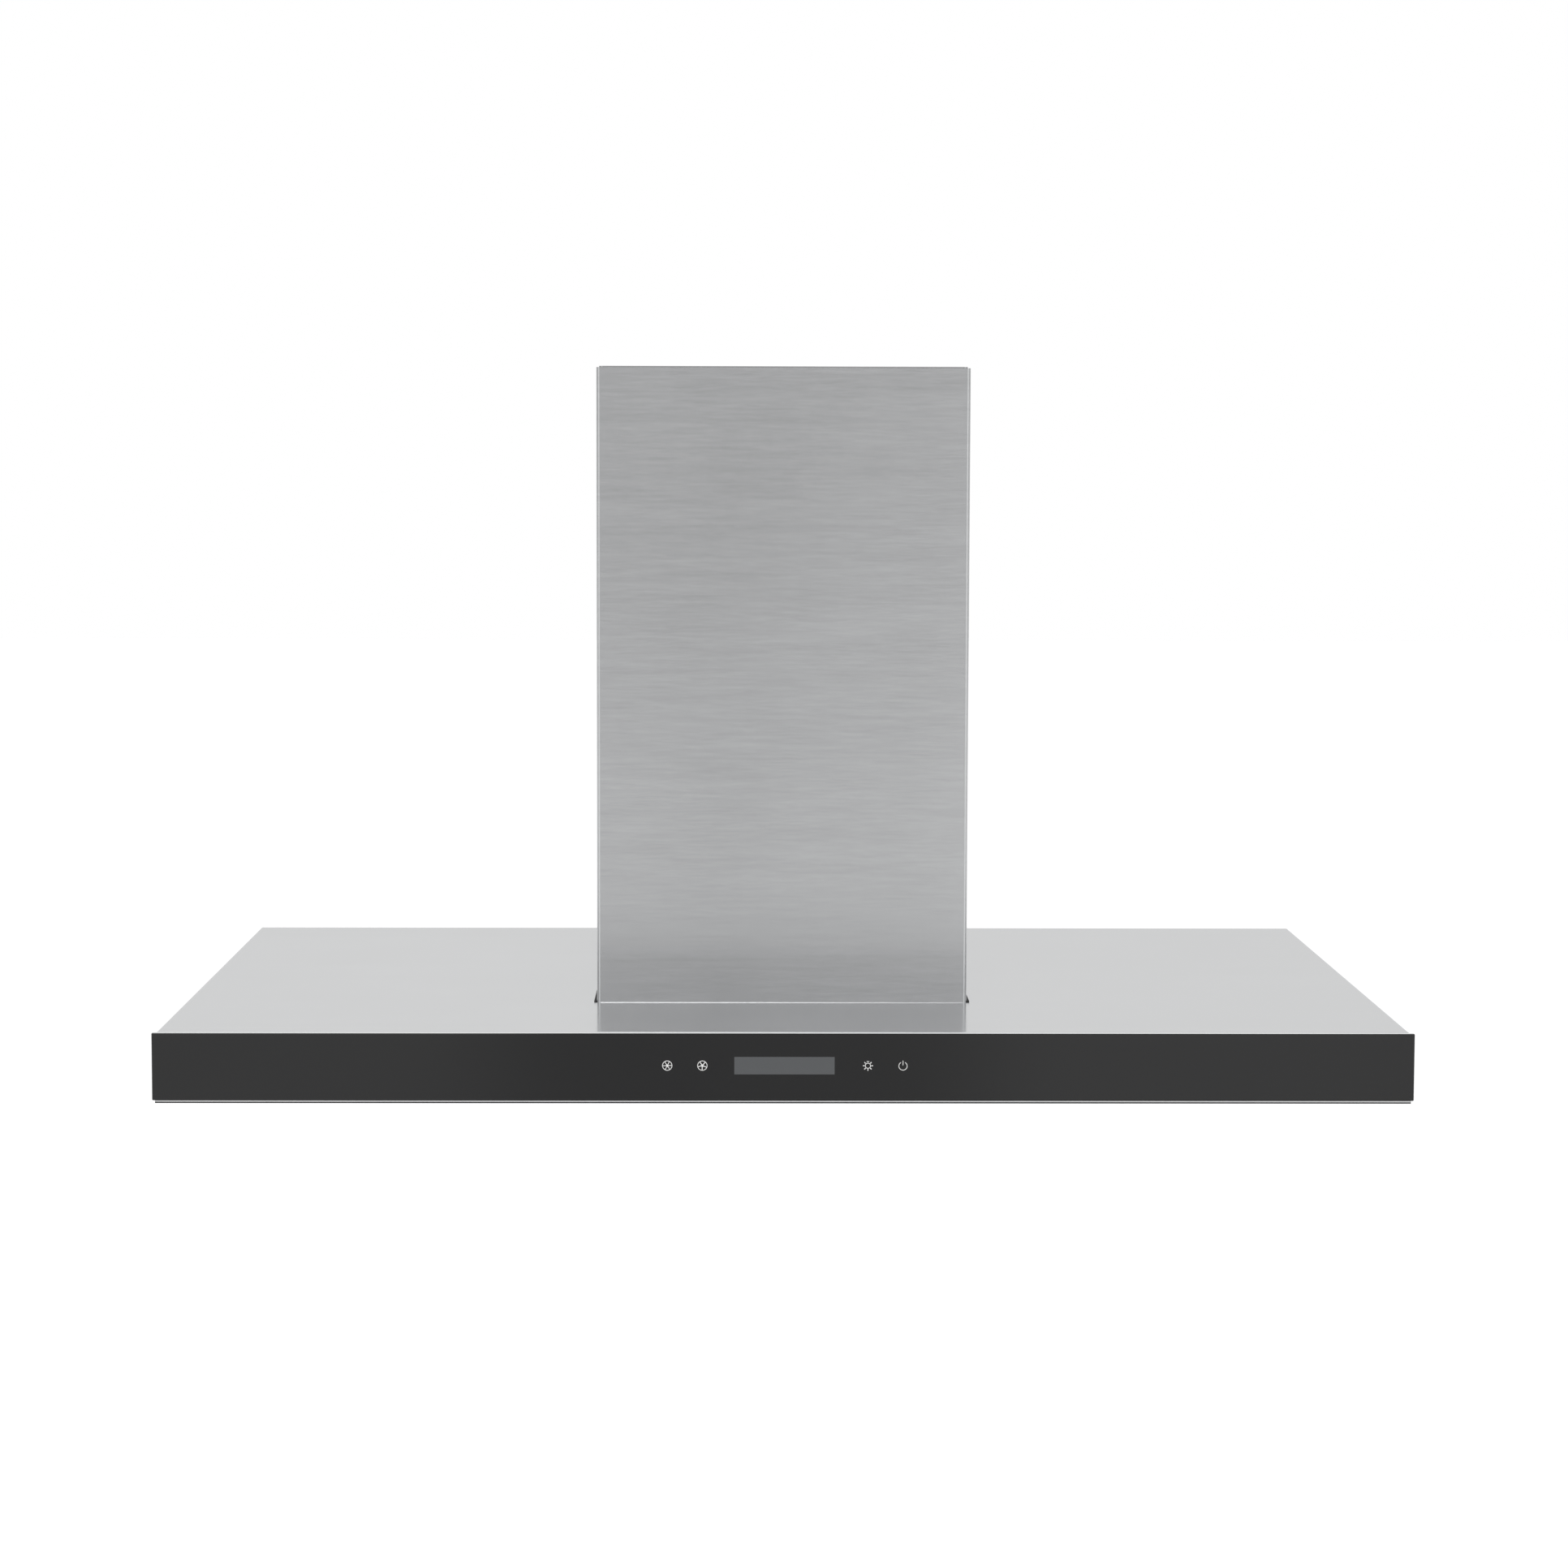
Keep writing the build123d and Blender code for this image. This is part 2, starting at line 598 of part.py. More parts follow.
with BuildPart() as touch_springs:
    with BuildSketch(Plane.XZ.offset(-board_front)):
        with Locations([(x, symbol_z) for x in symbol_x.values()]):
            Circle(symbol_radius)
            Circle(symbol_radius - 1, mode=Mode.SUBTRACT)
    extrude(amount=board_front - glass_back)
save(touch_springs, "touch_springs")

# Lamps: a round housing with a thin bezel below the panel, and a lens in its mouth.
lens_radius = lamp_radius - 5
lens_thickness = 3.0
lens_seat = 2.0           # step that the lens lies in
bezel_lift = 0.1          # bezel above the canopy's lowest face
with BuildPart() as lamp_housings:
    with BuildSketch(Plane.XY.offset(bezel_lift)):
        with Locations(list(lamp_spots.values())):
            Circle(lamp_bezel_radius)
    extrude(amount=sheet - bezel_lift)
    with BuildSketch(Plane.XY.offset(sheet)):
        with Locations(list(lamp_spots.values())):
            Circle(lamp_radius)
    extrude(amount=lamp_height)
    with BuildSketch(Plane.XY.offset(bezel_lift)):
        with Locations(list(lamp_spots.values())):
            Circle(lens_radius)
    extrude(amount=lamp_height - 4, mode=Mode.SUBTRACT)
    with BuildSketch(Plane.XY.offset(bezel_lift)):
        with Locations(list(lamp_spots.values())):
            Circle(lens_radius + lens_seat)
    extrude(amount=lens_thickness + 0.3, mode=Mode.SUBTRACT)
save(lamp_housings, "lamp_housings")

with BuildPart() as lamp_lenses:
    with BuildSketch(Plane.XY.offset(bezel_lift + 0.3)):
        with Locations(list(lamp_spots.values())):
            Circle(lens_radius + lens_seat - 0.1)
    extrude(amount=lens_thickness)
save(lamp_lenses, "lamp_lenses")


# ---------------------------------------------------------------- blower
# Blower box: sheet case over the air hole, open below, with a round hole for the outlet.
gland_thread = 8.0

with BuildPart() as blower_box:
    with BuildSketch(Plane.XY.offset(chassis_top)):
        Rectangle(blower_width, blower_depth)
    extrude(amount=blower_top - chassis_top)
    with BuildSketch(Plane.XY.offset(chassis_top)):
        Rectangle(blower_width + 2 * blower_flange, blower_depth + 2 * blower_flange)
    extrude(amount=blower_sheet)
    with BuildSketch(Plane.XY.offset(chassis_top)):
        Rectangle(*blower_inside)
    extrude(amount=blower_top - blower_sheet - chassis_top, mode=Mode.SUBTRACT)
    with BuildSketch(Plane.XY.offset(blower_top)):
        Circle(duct_radius - collar_wall)
        with Locations(gland_spot):
            Circle(gland_thread + 0.1)
    extrude(amount=-blower_sheet, mode=Mode.SUBTRACT)
save(blower_box, "blower_box")


def scroll_outline(grow, top):
    """Scroll section: three quarter arcs that widen round the wheel, then a straight outlet."""
    quarter = [scroll_radius + grow + i * scroll_growth for i in range(3)]
    out = wheel_y + scroll_growth + quarter[2]
    with BuildLine() as outline:
        start = CenterArc((wheel_y, wheel_z), quarter[0], 90, 90)
        CenterArc((wheel_y + scroll_growth, wheel_z), quarter[1], 180, 90)
        CenterArc((wheel_y + scroll_growth, wheel_z + scroll_growth), quarter[2], 270, 90)
        Polyline(
            (out, wheel_z + scroll_growth),
            (out, top),
            (tongue_y - grow, top),
            (tongue_y - grow, wheel_z + quarter[0]),
            start @ 0,
        )
    make_face(outline.edges())


# Scroll housing round the wheel, with an inlet on each side and the outlet on top.
with BuildPart() as scroll_housing:
    with BuildSketch(Plane.YZ.offset(-scroll_half - scroll_wall)):
        scroll_outline(scroll_wall, scroll_top)
    extrude(amount=2 * (scroll_half + scroll_wall))
    with BuildSketch(Plane.YZ.offset(-scroll_half)):
        scroll_outline(0, scroll_top + 1)
    extrude(amount=2 * scroll_half, mode=Mode.SUBTRACT)
    with BuildSketch(Plane.YZ.offset(-scroll_half - 2 * scroll_wall)):
        with Locations((wheel_y, wheel_z)):
            Circle(inlet_radius)
    extrude(amount=2 * scroll_half + 4 * scroll_wall, mode=Mode.SUBTRACT)
save(scroll_housing, "scroll_housing")

# Outlet transition: square outlet of the scroll to the round hole in the box.
outlet_far = wheel_y + scroll_growth + scroll_radius + 2 * scroll_growth
outlet_mid = (outlet_far + tongue_y) / 2
outlet_y = outlet_far - tongue_y
transition_top = blower_top - blower_sheet
transition_radius = duct_radius - collar_wall - 1
with BuildPart() as outlet_transition:
    with BuildSketch(Plane.XY.offset(scroll_top)):
        with Locations((0, outlet_mid)):
            Rectangle(2 * (scroll_half + scroll_wall), outlet_y + 2 * scroll_wall)
    with BuildSketch(Plane.XY.offset(transition_top)):
        Circle(transition_radius)
    loft()
    with BuildSketch(Plane.XY.offset(scroll_top)):
        with Locations((0, outlet_mid)):
            Rectangle(2 * scroll_half, outlet_y)
    with BuildSketch(Plane.XY.offset(transition_top)):
        Circle(transition_radius - scroll_wall)
    loft(mode=Mode.SUBTRACT)
save(outlet_transition, "outlet_transition")

# Outlet collar: flanged ring on the box, with the pin holes and four stops for the damper flaps.
collar_inside = duct_radius - collar_wall
flap_low = pin_z - flap_thickness / 2
stop_height = 2.0
with BuildPart() as outlet_collar:
    with BuildSketch(Plane.XY.offset(blower_top)):
        Circle(duct_radius + 13)
        Circle(collar_inside, mode=Mode.SUBTRACT)
        with Locations(gland_spot):
            Circle(gland_thread + 6, mode=Mode.SUBTRACT)
    extrude(amount=blower_sheet)
    with BuildSketch(Plane.XY.offset(blower_top)):
        Circle(duct_radius)
        Circle(collar_inside, mode=Mode.SUBTRACT)
    extrude(amount=collar_height)
    with BuildSketch(Plane.XY.offset(flap_low - 0.2 - stop_height)):
        with PolarLocations(collar_inside - 2.5, 4, start_angle=45):
            Rectangle(6, 8)
    extrude(amount=stop_height)
    with Locations((0, 0, pin_z)):
        Cylinder(pin_radius + pin_clearance, 3 * duct_radius, rotation=(0, 90, 0), mode=Mode.SUBTRACT)
save(outlet_collar, "outlet_collar")

# Damper pin, held in the collar.
with BuildPart() as damper_pin:
    with Locations((0, 0, pin_z)):
        Cylinder(pin_radius, 2 * duct_radius - 0.4, rotation=(0, 90, 0))
save(damper_pin, "damper_pin")

# Damper flaps: two half discs whose knuckles take turns along the pin.
knuckle_length = 20.0
knuckle_radius = 3.6
knuckle_spots = {"front": (-50, 10), "rear": (-10, 50)}
for name, side_y in halves.items():
    with BuildPart() as damper_flap:
        with BuildSketch(Plane.XY.offset(flap_low)):
            Circle(collar_inside - flap_gap)
            with Locations((0, -side_y * (duct_radius - knuckle_radius - 0.6))):
                Rectangle(2 * duct_radius, 2 * duct_radius, mode=Mode.SUBTRACT)
            with Locations([(x, side_y * (knuckle_radius - 0.1)) for x in knuckle_spots[name]]):
                Rectangle(knuckle_length - 1, 2.4)
        extrude(amount=flap_thickness)
        with Locations([(x, 0, pin_z) for x in knuckle_spots[name]]):
            Cylinder(knuckle_radius, knuckle_length - 1, rotation=(0, 90, 0))
        with Locations((0, 0, pin_z)):
            Cylinder(pin_radius + pin_clearance, 2 * duct_radius, rotation=(0, 90, 0), mode=Mode.SUBTRACT)
    save(damper_flap, f"damper_flap_{name}")

# Motor: a closed can in the left inlet, with a flange towards its bracket.
motor_back = -scroll_half - scroll_wall - motor_tail
motor_front = motor_back + motor_length
bracket_front = -scroll_half - scroll_wall - 7
bracket_sheet = 2.0
with BuildPart() as motor:
    with BuildSketch(Plane.YZ.offset(motor_back)):
        with Locations((wheel_y, wheel_z)):
            Circle(motor_radius)
    extrude(amount=motor_length)
    fillet(motor.edges(), 4)
    with BuildSketch(Plane.YZ.offset(bracket_front)):
        with Locations((wheel_y, wheel_z)):
            Circle(motor_radius + 7)
    extrude(amount=3)
    with BuildSketch(Plane.YZ.offset(motor_back - 1)):
        with Locations((wheel_y, wheel_z)):
            Circle(shaft_radius + shaft_clearance)
    extrude(amount=motor_length + 2, mode=Mode.SUBTRACT)
save(motor, "motor")

# Motor bracket: a ring with three arms that end over the rubber grommets.
arm_reach = inlet_radius + 10
arm_angles = (90, 210, 330)
with BuildPart() as motor_bracket:
    with BuildSketch(Plane.YZ.offset(bracket_front - bracket_sheet)):
        with Locations((wheel_y, wheel_z)):
            Circle(motor_radius + 9)
            with PolarLocations((arm_reach + 6) / 2, 3, start_angle=90):
                Rectangle(arm_reach + 6, 14)
            Circle(motor_radius + 0.3, mode=Mode.SUBTRACT)
    extrude(amount=bracket_sheet)
save(motor_bracket, "motor_bracket")

with BuildPart() as motor_grommets:
    with BuildSketch(Plane.YZ.offset(bracket_front)):
        with Locations((wheel_y, wheel_z)):
            with PolarLocations(arm_reach, 3, start_angle=90):
                Circle(6)
    extrude(amount=-scroll_half - scroll_wall - bracket_front)
save(motor_grommets, "motor_grommets")

# Run capacitor on a foot against the right wall of the box.
capacitor_radius = 16.0
capacitor_length = 60.0
capacitor_spot = (blower_inside[0] / 2 - capacitor_radius - 2, -blower_inside[1] / 2 + capacitor_radius + 8)
with BuildPart() as capacitor:
    with BuildSketch(Plane.XY.offset(chassis_top + 60)):
        with Locations(capacitor_spot):
            Circle(capacitor_radius)
    extrude(amount=capacitor_length)
    fillet(capacitor.edges(), 2)
    with Locations((blower_inside[0] / 2 - 8, capacitor_spot[1], chassis_top + 60 + capacitor_length / 2)):
        Box(16, 16, 12)
save(capacitor, "capacitor")

# Junction box under the top of the blower box, with the cable gland through both.
junction_size = (34.0, 62.0, 50.0)
junction_top = blower_top - blower_sheet
junction_x = blower_inside[0] / 2 - junction_size[0] / 2 - 1
junction_y = blower_inside[1] / 2 - junction_size[1] / 2 - 1
with BuildPart() as junction_box:
    with Locations((junction_x, junction_y, junction_top)):
        Box(*junction_size, align=(Align.CENTER, Align.CENTER, Align.MAX))
    with Locations((junction_x, junction_y, junction_top - box_wall)):
        Box(*[size - 2 * box_wall for size in junction_size],
            align=(Align.CENTER, Align.CENTER, Align.MAX), mode=Mode.SUBTRACT)
    with Locations((*gland_spot, junction_top)):
        Cylinder(gland_thread + 0.1, 3 * box_wall, mode=Mode.SUBTRACT)
save(junction_box, "junction_box")

gland_bore = 4.0
gland_height = 17.0
with BuildPart() as cable_gland:
    with BuildSketch(Plane.XY.offset(junction_top - 8)):
        with Locations(gland_spot):
            Circle(gland_thread)
    extrude(amount=8 + blower_sheet)
    with BuildSketch(Plane.XY.offset(blower_top)):
        with Locations(gland_spot):
            RegularPolygon(11, 6)
    extrude(amount=7)
    with BuildSketch(Plane.XY.offset(blower_top + 7)):
        with Locations(gland_spot):
            Circle(9)
    extrude(amount=gland_height - 7, taper=12)
    with Locations((*gland_spot, blower_top)):
        Cylinder(gland_bore, 4 * gland_height, mode=Mode.SUBTRACT)
save(cable_gland, "cable_gland")


# ---------------------------------------------------------------- impeller
# Double-inlet wheel: a centre disc with a hub, an end ring on each side, and two rows of blades between them.
disc_thickness = 2.0
ring_thickness = 3.0
ring_width = 15.0
hub_radius = 12.0
hub_length = 16.0
blade_thickness = 1.2
blade_angle = 28.0
ring_starts = (-wheel_width / 2, wheel_width / 2 - ring_thickness)
blade_length = (wheel_width - disc_thickness) / 2 - ring_thickness
blade_starts = (-disc_thickness / 2 - blade_length, disc_thickness / 2)

with BuildPart() as impeller_wheel:
    with BuildSketch(Plane.YZ.offset(-disc_thickness / 2)):
        with Locations((wheel_y, wheel_z)):
            Circle(wheel_radius)
    extrude(amount=disc_thickness)
    with BuildSketch(Plane.YZ.offset(-disc_thickness / 2)):
        with Locations((wheel_y, wheel_z)):
            Circle(hub_radius)
    extrude(amount=hub_length)
    with BuildSketch(Plane.YZ.offset(-disc_thickness / 2)):
        with Locations((wheel_y, wheel_z)):
            Circle(shaft_radius)
    extrude(amount=hub_length, mode=Mode.SUBTRACT)
    for x in ring_starts:
        with BuildSketch(Plane.YZ.offset(x)):
            with Locations((wheel_y, wheel_z)):
                Circle(wheel_radius)
                Circle(wheel_radius - ring_width, mode=Mode.SUBTRACT)
        extrude(amount=ring_thickness)
save(impeller_wheel, "impeller_wheel")

with BuildPart() as impeller_blades:
    for x in blade_starts:
        with BuildSketch(Plane.YZ.offset(x)):
            with Locations((wheel_y, wheel_z)):
                with PolarLocations(wheel_radius - ring_width / 2, blade_count):
                    Rectangle(ring_width - 1, blade_thickness, rotation=blade_angle)
        extrude(amount=blade_length)
save(impeller_blades, "impeller_blades")

# Motor shaft, pressed into the hub and running in the motor.
with BuildPart() as motor_shaft:
    with BuildSketch(Plane.YZ.offset(motor_back - 3)):
        with Locations((wheel_y, wheel_z)):
            Circle(shaft_radius)
    extrude(amount=-motor_back + 3 + 18)
save(motor_shaft, "motor_shaft")


# ---------------------------------------------------------------- grease filters
# Each filter rests its rear tabs on the rear lip of the well and snaps over the front lip with a spring clip.
tab_reach = 6.0
tab_width = 30.0
tab_sheet = 1.0
handle_width = 70.0
handle_drop = 5.5
filter_top = filter_bottom + filter_height
rear_edge = well_mid + filter_depth / 2
front_edge = well_mid - filter_depth / 2
tab_bottom = lip_top + 0.1

for name, side in sides.items():
    filter_x = side * filter_pitch / 2
    with BuildPart() as filter_frame:
        with BuildSketch(Plane.XY.offset(filter_bottom)):
            with Locations((filter_x, well_mid)):
                Rectangle(filter_width, filter_depth)
        extrude(amount=filter_height)
        with BuildSketch(Plane.XY.offset(filter_bottom + filter_sheet)):
            with Locations((filter_x, well_mid)):
                Rectangle(filter_width - 2 * filter_sheet, filter_depth - 2 * filter_sheet)
        extrude(amount=filter_height - 2 * filter_sheet, mode=Mode.SUBTRACT)
        with BuildSketch(Plane.XY.offset(filter_bottom)):
            with Locations((filter_x, well_mid)):
                Rectangle(filter_width - 2 * filter_rail, filter_depth - 2 * filter_rail)
        extrude(amount=filter_height, mode=Mode.SUBTRACT)
        with BuildSketch(Plane.XY.offset(tab_bottom)):
            with Locations([(filter_x + x, rear_edge + (filter_gap + tab_reach) / 2) for x in (-120, 120)]):
                Rectangle(tab_width, filter_gap + tab_reach)
        extrude(amount=tab_sheet)
    save(filter_frame, f"filter_frame_{name}")

    # Two layers of steel channels, the upper ones over the gaps of the lower ones.
    lower_total = int((filter_width - 2 * filter_sheet - baffle_width) / baffle_pitch) + 1
    with BuildPart() as filter_baffles:
        for level, total in ((0, lower_total), (1, lower_total - 1)):
            back_z = filter_bottom + filter_sheet if level == 0 else filter_top - 2 * filter_sheet
            lip_z = back_z if level == 0 else filter_top - filter_sheet - baffle_lip
            for i in range(total):
                x = filter_x + (i - (total - 1) / 2) * baffle_pitch
                with Locations((x, well_mid, back_z)):
                    Box(baffle_width, filter_depth - 2 * filter_sheet - 1, filter_sheet,
                        align=(Align.CENTER, Align.CENTER, Align.MIN))
                for edge in (-1, 1):
                    with Locations((x + edge * (baffle_width - filter_sheet) / 2, well_mid, lip_z)):
                        Box(filter_sheet, filter_depth - 2 * filter_sheet - 1, baffle_lip,
                            align=(Align.CENTER, Align.CENTER, Align.MIN))
    save(filter_baffles, f"filter_baffles_{name}")

    # Pull handle: strap under the front rail.
    handle_y = front_edge + filter_rail / 2
    with BuildPart() as filter_handle:
        with BuildSketch(Plane.XZ.offset(-handle_y - 5)):
            with BuildLine():
                pull = Polyline(
                    (filter_x - handle_width / 2, filter_bottom - 0.5),
                    (filter_x - handle_width / 2 + 12, filter_bottom - 0.5),
                    (filter_x - handle_width / 2 + 17, filter_bottom - handle_drop),
                    (filter_x + handle_width / 2 - 17, filter_bottom - handle_drop),
                    (filter_x + handle_width / 2 - 12, filter_bottom - 0.5),
                    (filter_x + handle_width / 2, filter_bottom - 0.5),
                )
            trace(pull, 1.0)
        extrude(amount=10)
    save(filter_handle, f"filter_handle_{name}")

    # Spring clip: leaf on the front wall of the frame, bent out over the front lip.
    with BuildPart() as filter_clip:
        with BuildSketch(Plane.YZ.offset(filter_x)):
            with BuildLine():
                leaf = Polyline(
                    (front_edge - 0.3, filter_top - 2),
                    (front_edge - 0.3, lip_top + 4),
                    (front_edge - filter_gap - 4, lip_top + 0.4),
                )
            trace(leaf, 0.5)
        extrude(amount=15, both=True)
    save(filter_clip, f"filter_clip_{name}")
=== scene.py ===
import math

import bpy
from mathutils import Matrix, Vector


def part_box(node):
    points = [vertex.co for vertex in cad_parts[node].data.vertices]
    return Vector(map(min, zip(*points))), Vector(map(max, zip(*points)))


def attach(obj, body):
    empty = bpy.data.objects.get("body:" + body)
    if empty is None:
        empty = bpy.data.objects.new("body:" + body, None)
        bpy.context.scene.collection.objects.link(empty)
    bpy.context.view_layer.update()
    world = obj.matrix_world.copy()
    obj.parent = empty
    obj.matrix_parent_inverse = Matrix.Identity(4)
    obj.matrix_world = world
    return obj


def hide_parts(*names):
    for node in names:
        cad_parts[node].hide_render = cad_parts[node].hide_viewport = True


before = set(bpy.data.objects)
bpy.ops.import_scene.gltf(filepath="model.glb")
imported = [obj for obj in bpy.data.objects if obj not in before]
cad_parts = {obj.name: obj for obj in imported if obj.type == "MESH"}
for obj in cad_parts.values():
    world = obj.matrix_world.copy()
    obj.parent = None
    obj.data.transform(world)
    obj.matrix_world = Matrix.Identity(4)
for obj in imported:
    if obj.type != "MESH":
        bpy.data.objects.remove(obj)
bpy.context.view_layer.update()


# ---- Camera -------------------------------------------------------------------------------
# A long lens at about head height, a little left of the middle, looking down on the canopy.
# Nearly three metres away, so the flue's upright edges stay upright.
camera_place = Vector((-0.0364, -2.9278, 0.4588))
camera_yaw = 0.0135
camera_pitch = 0.0873
camera_roll = 0.0029

look = Vector((math.sin(camera_yaw) * math.cos(camera_pitch),
               math.cos(camera_yaw) * math.cos(camera_pitch),
               -math.sin(camera_pitch)))
level = look.cross(Vector((0, 0, 1))).normalized()
upright = level.cross(look)
across = level * math.cos(camera_roll) + upright * math.sin(camera_roll)
above = upright * math.cos(camera_roll) - level * math.sin(camera_roll)

camera_data = bpy.data.cameras.new("camera")
camera_data.sensor_width = 36.0
camera_data.lens = 85.57
camera_data.clip_end = 60.0
camera = bpy.data.objects.new("camera", camera_data)
bpy.context.scene.collection.objects.link(camera)
facing_ways = Matrix((across, above, -look)).transposed().to_4x4()
camera.matrix_world = Matrix.Translation(camera_place) @ facing_ways
bpy.context.scene.camera = camera


# ---- Studio -------------------------------------------------------------------------------
# White surround with a greyer front, so that steel facing the camera reads as mid grey and
# steel facing up reads lighter. A pale floor lies where a kitchen worktop would be.
bpy.context.scene.view_settings.view_transform = "Standard"
bpy.context.scene.view_settings.look = "None"


def add_node(tree, kind, **settings):
    """Adds a node, setting its properties and, by name or number, its inputs."""
    node = tree.nodes.new(kind)
    for key, value in settings.items():
        if key == "inputs":
            for socket, number in value.items():
                node.inputs[socket].default_value = number
        else:
            setattr(node, key, value)
    return node


def link(tree, source, target):
    """Joins an output socket to an input socket."""
    tree.links.new(source, target)


def math_node(tree, operation, first, second=None, third=None, clamp=False):
    """Math node whose inputs are sockets or plain numbers. Returns its output."""
    node = add_node(tree, "ShaderNodeMath", operation=operation, use_clamp=clamp)
    for i, value in enumerate((first, second, third)):
        if value is None:
            continue
        if isinstance(value, (int, float)):
            node.inputs[i].default_value = value
        else:
            link(tree, value, node.inputs[i])
    return node.outputs[0]


def ramp_between(tree, value, low, high, low_out=0.0, high_out=1.0):
    """Smooth step of a value from one number to another."""
    node = add_node(tree, "ShaderNodeMapRange", interpolation_type="SMOOTHSTEP")
    link(tree, value, node.inputs[0])
    for i, number in enumerate((low, high, low_out, high_out)):
        node.inputs[i + 1].default_value = number
    return node.outputs[0]


world = bpy.data.worlds.new("studio")
bpy.context.scene.world = world
world.use_nodes = True
sky = world.node_tree
sky.nodes.clear()
direction = add_node(sky, "ShaderNodeTexCoord").outputs["Generated"]
parts_of_direction = add_node(sky, "ShaderNodeSeparateXYZ")
link(sky, direction, parts_of_direction.inputs[0])
towards_x, towards_y, towards_z = parts_of_direction.outputs
sideways = math_node(sky, "ABSOLUTE", towards_x)
frontness = ramp_between(sky, towards_y, 0.3, -0.6)
middle_dip = ramp_between(sky, sideways, 0.04, 0.09, 0.30, 0.0)
front_level = math_node(sky, "SUBTRACT", 0.93, middle_dip)
low_shade = ramp_between(sky, towards_z, -0.32, -0.10, 0.55, 1.0)
front_level = math_node(sky, "MULTIPLY", front_level, low_shade)
high_shade = ramp_between(sky, towards_z, -0.22, 0.06, 1.20, 0.60)
front_level = math_node(sky, "MULTIPLY", front_level, high_shade)
overhead_lift = ramp_between(sky, towards_z, 0.10, 0.22, 1.0, 1.85)
front_level = math_node(sky, "MULTIPLY", front_level, overhead_lift)
right_lift = ramp_between(sky, towards_x, -0.12, 0.12, 0.985, 1.05)
front_level = math_node(sky, "MULTIPLY", front_level, right_lift)
strip_near = ramp_between(sky, sideways, 0.26, 0.38)
strip_far = ramp_between(sky, sideways, 0.58, 0.70, 1.0, 0.0)
strip = math_node(sky, "MULTIPLY", strip_near, strip_far)
strip = math_node(sky, "MULTIPLY", strip, frontness)
side_shade = ramp_between(sky, sideways, 0.72, 0.90, 0.0, -0.28)
front_level = math_node(sky, "MULTIPLY_ADD", strip, 0.55, front_level)
mixed = add_node(sky, "ShaderNodeMix", data_type="FLOAT")
link(sky, frontness, mixed.inputs["Factor"])
mixed.inputs["A"].default_value = 1.0
link(sky, front_level, mixed.inputs["B"])
surround = add_node(sky, "ShaderNodeBackground")
link(sky, math_node(sky, "ADD", mixed.outputs[0], side_shade), surround.inputs["Strength"])
backdrop = add_node(sky, "ShaderNodeBackground", inputs={"Color": (1, 1, 1, 1), "Strength": 1.0})
camera_sees = add_node(sky, "ShaderNodeLightPath")
chosen = add_node(sky, "ShaderNodeMixShader")
link(sky, camera_sees.outputs["Is Camera Ray"], chosen.inputs[0])
link(sky, surround.outputs[0], chosen.inputs[1])
link(sky, backdrop.outputs[0], chosen.inputs[2])
link(sky, chosen.outputs[0], add_node(sky, "ShaderNodeOutputWorld").inputs["Surface"])


def softbox(name, place, target, size, power):
    """Large rectangular area light aimed at a point."""
    lamp = bpy.data.lights.new(name, "AREA")
    lamp.shape = "RECTANGLE"
    lamp.size, lamp.size_y = size
    lamp.energy = power
    holder = bpy.data.objects.new(name, lamp)
    bpy.context.scene.collection.objects.link(holder)
    aim = Vector(target) - Vector(place)
    holder.matrix_world = Matrix.Translation(place) @ aim.to_track_quat("-Z", "Y").to_matrix().to_4x4()
    return holder


softbox("soft_top_light", (-0.6, -1.2, 2.6), (0, 0, 0.2), (1.8, 1.2), 14.0)

floor_drop = 1.15
floor_half = 18.0
floor_front = -6.0
bpy.ops.object.select_all(action="DESELECT")
bpy.ops.mesh.primitive_plane_add(size=2 * floor_half, location=(0, floor_front + floor_half, -floor_drop))
floor = bpy.context.object
floor.name = "studio_floor"
floor_paint = bpy.data.materials.new("floor_paint")
floor_paint.use_nodes = True
floor_shader = floor_paint.node_tree.nodes["Principled BSDF"]
floor_shader.inputs["Base Color"].default_value = (0.93, 0.93, 0.93, 1)
floor_shader.inputs["Roughness"].default_value = 0.9
floor_shader.inputs["Emission Color"].default_value = (1, 1, 1, 1)
floor_shader.inputs["Emission Strength"].default_value = 0.30
floor.data.materials.append(floor_paint)


# ---- Canopy shell -------------------------------------------------------------------------
# One sheet of stainless steel, brushed along its length and folded down on four sides.
# The corners are welded and linished, and a flange turns in round the underside.
def dress(material, *nodes):
    """Gives CAD nodes a material."""
    for name in nodes:
        mesh = bpy.data.objects[name].data
        if not mesh.materials:
            mesh.materials.append(material)
        for i in range(len(mesh.materials)):
            mesh.materials[i] = material


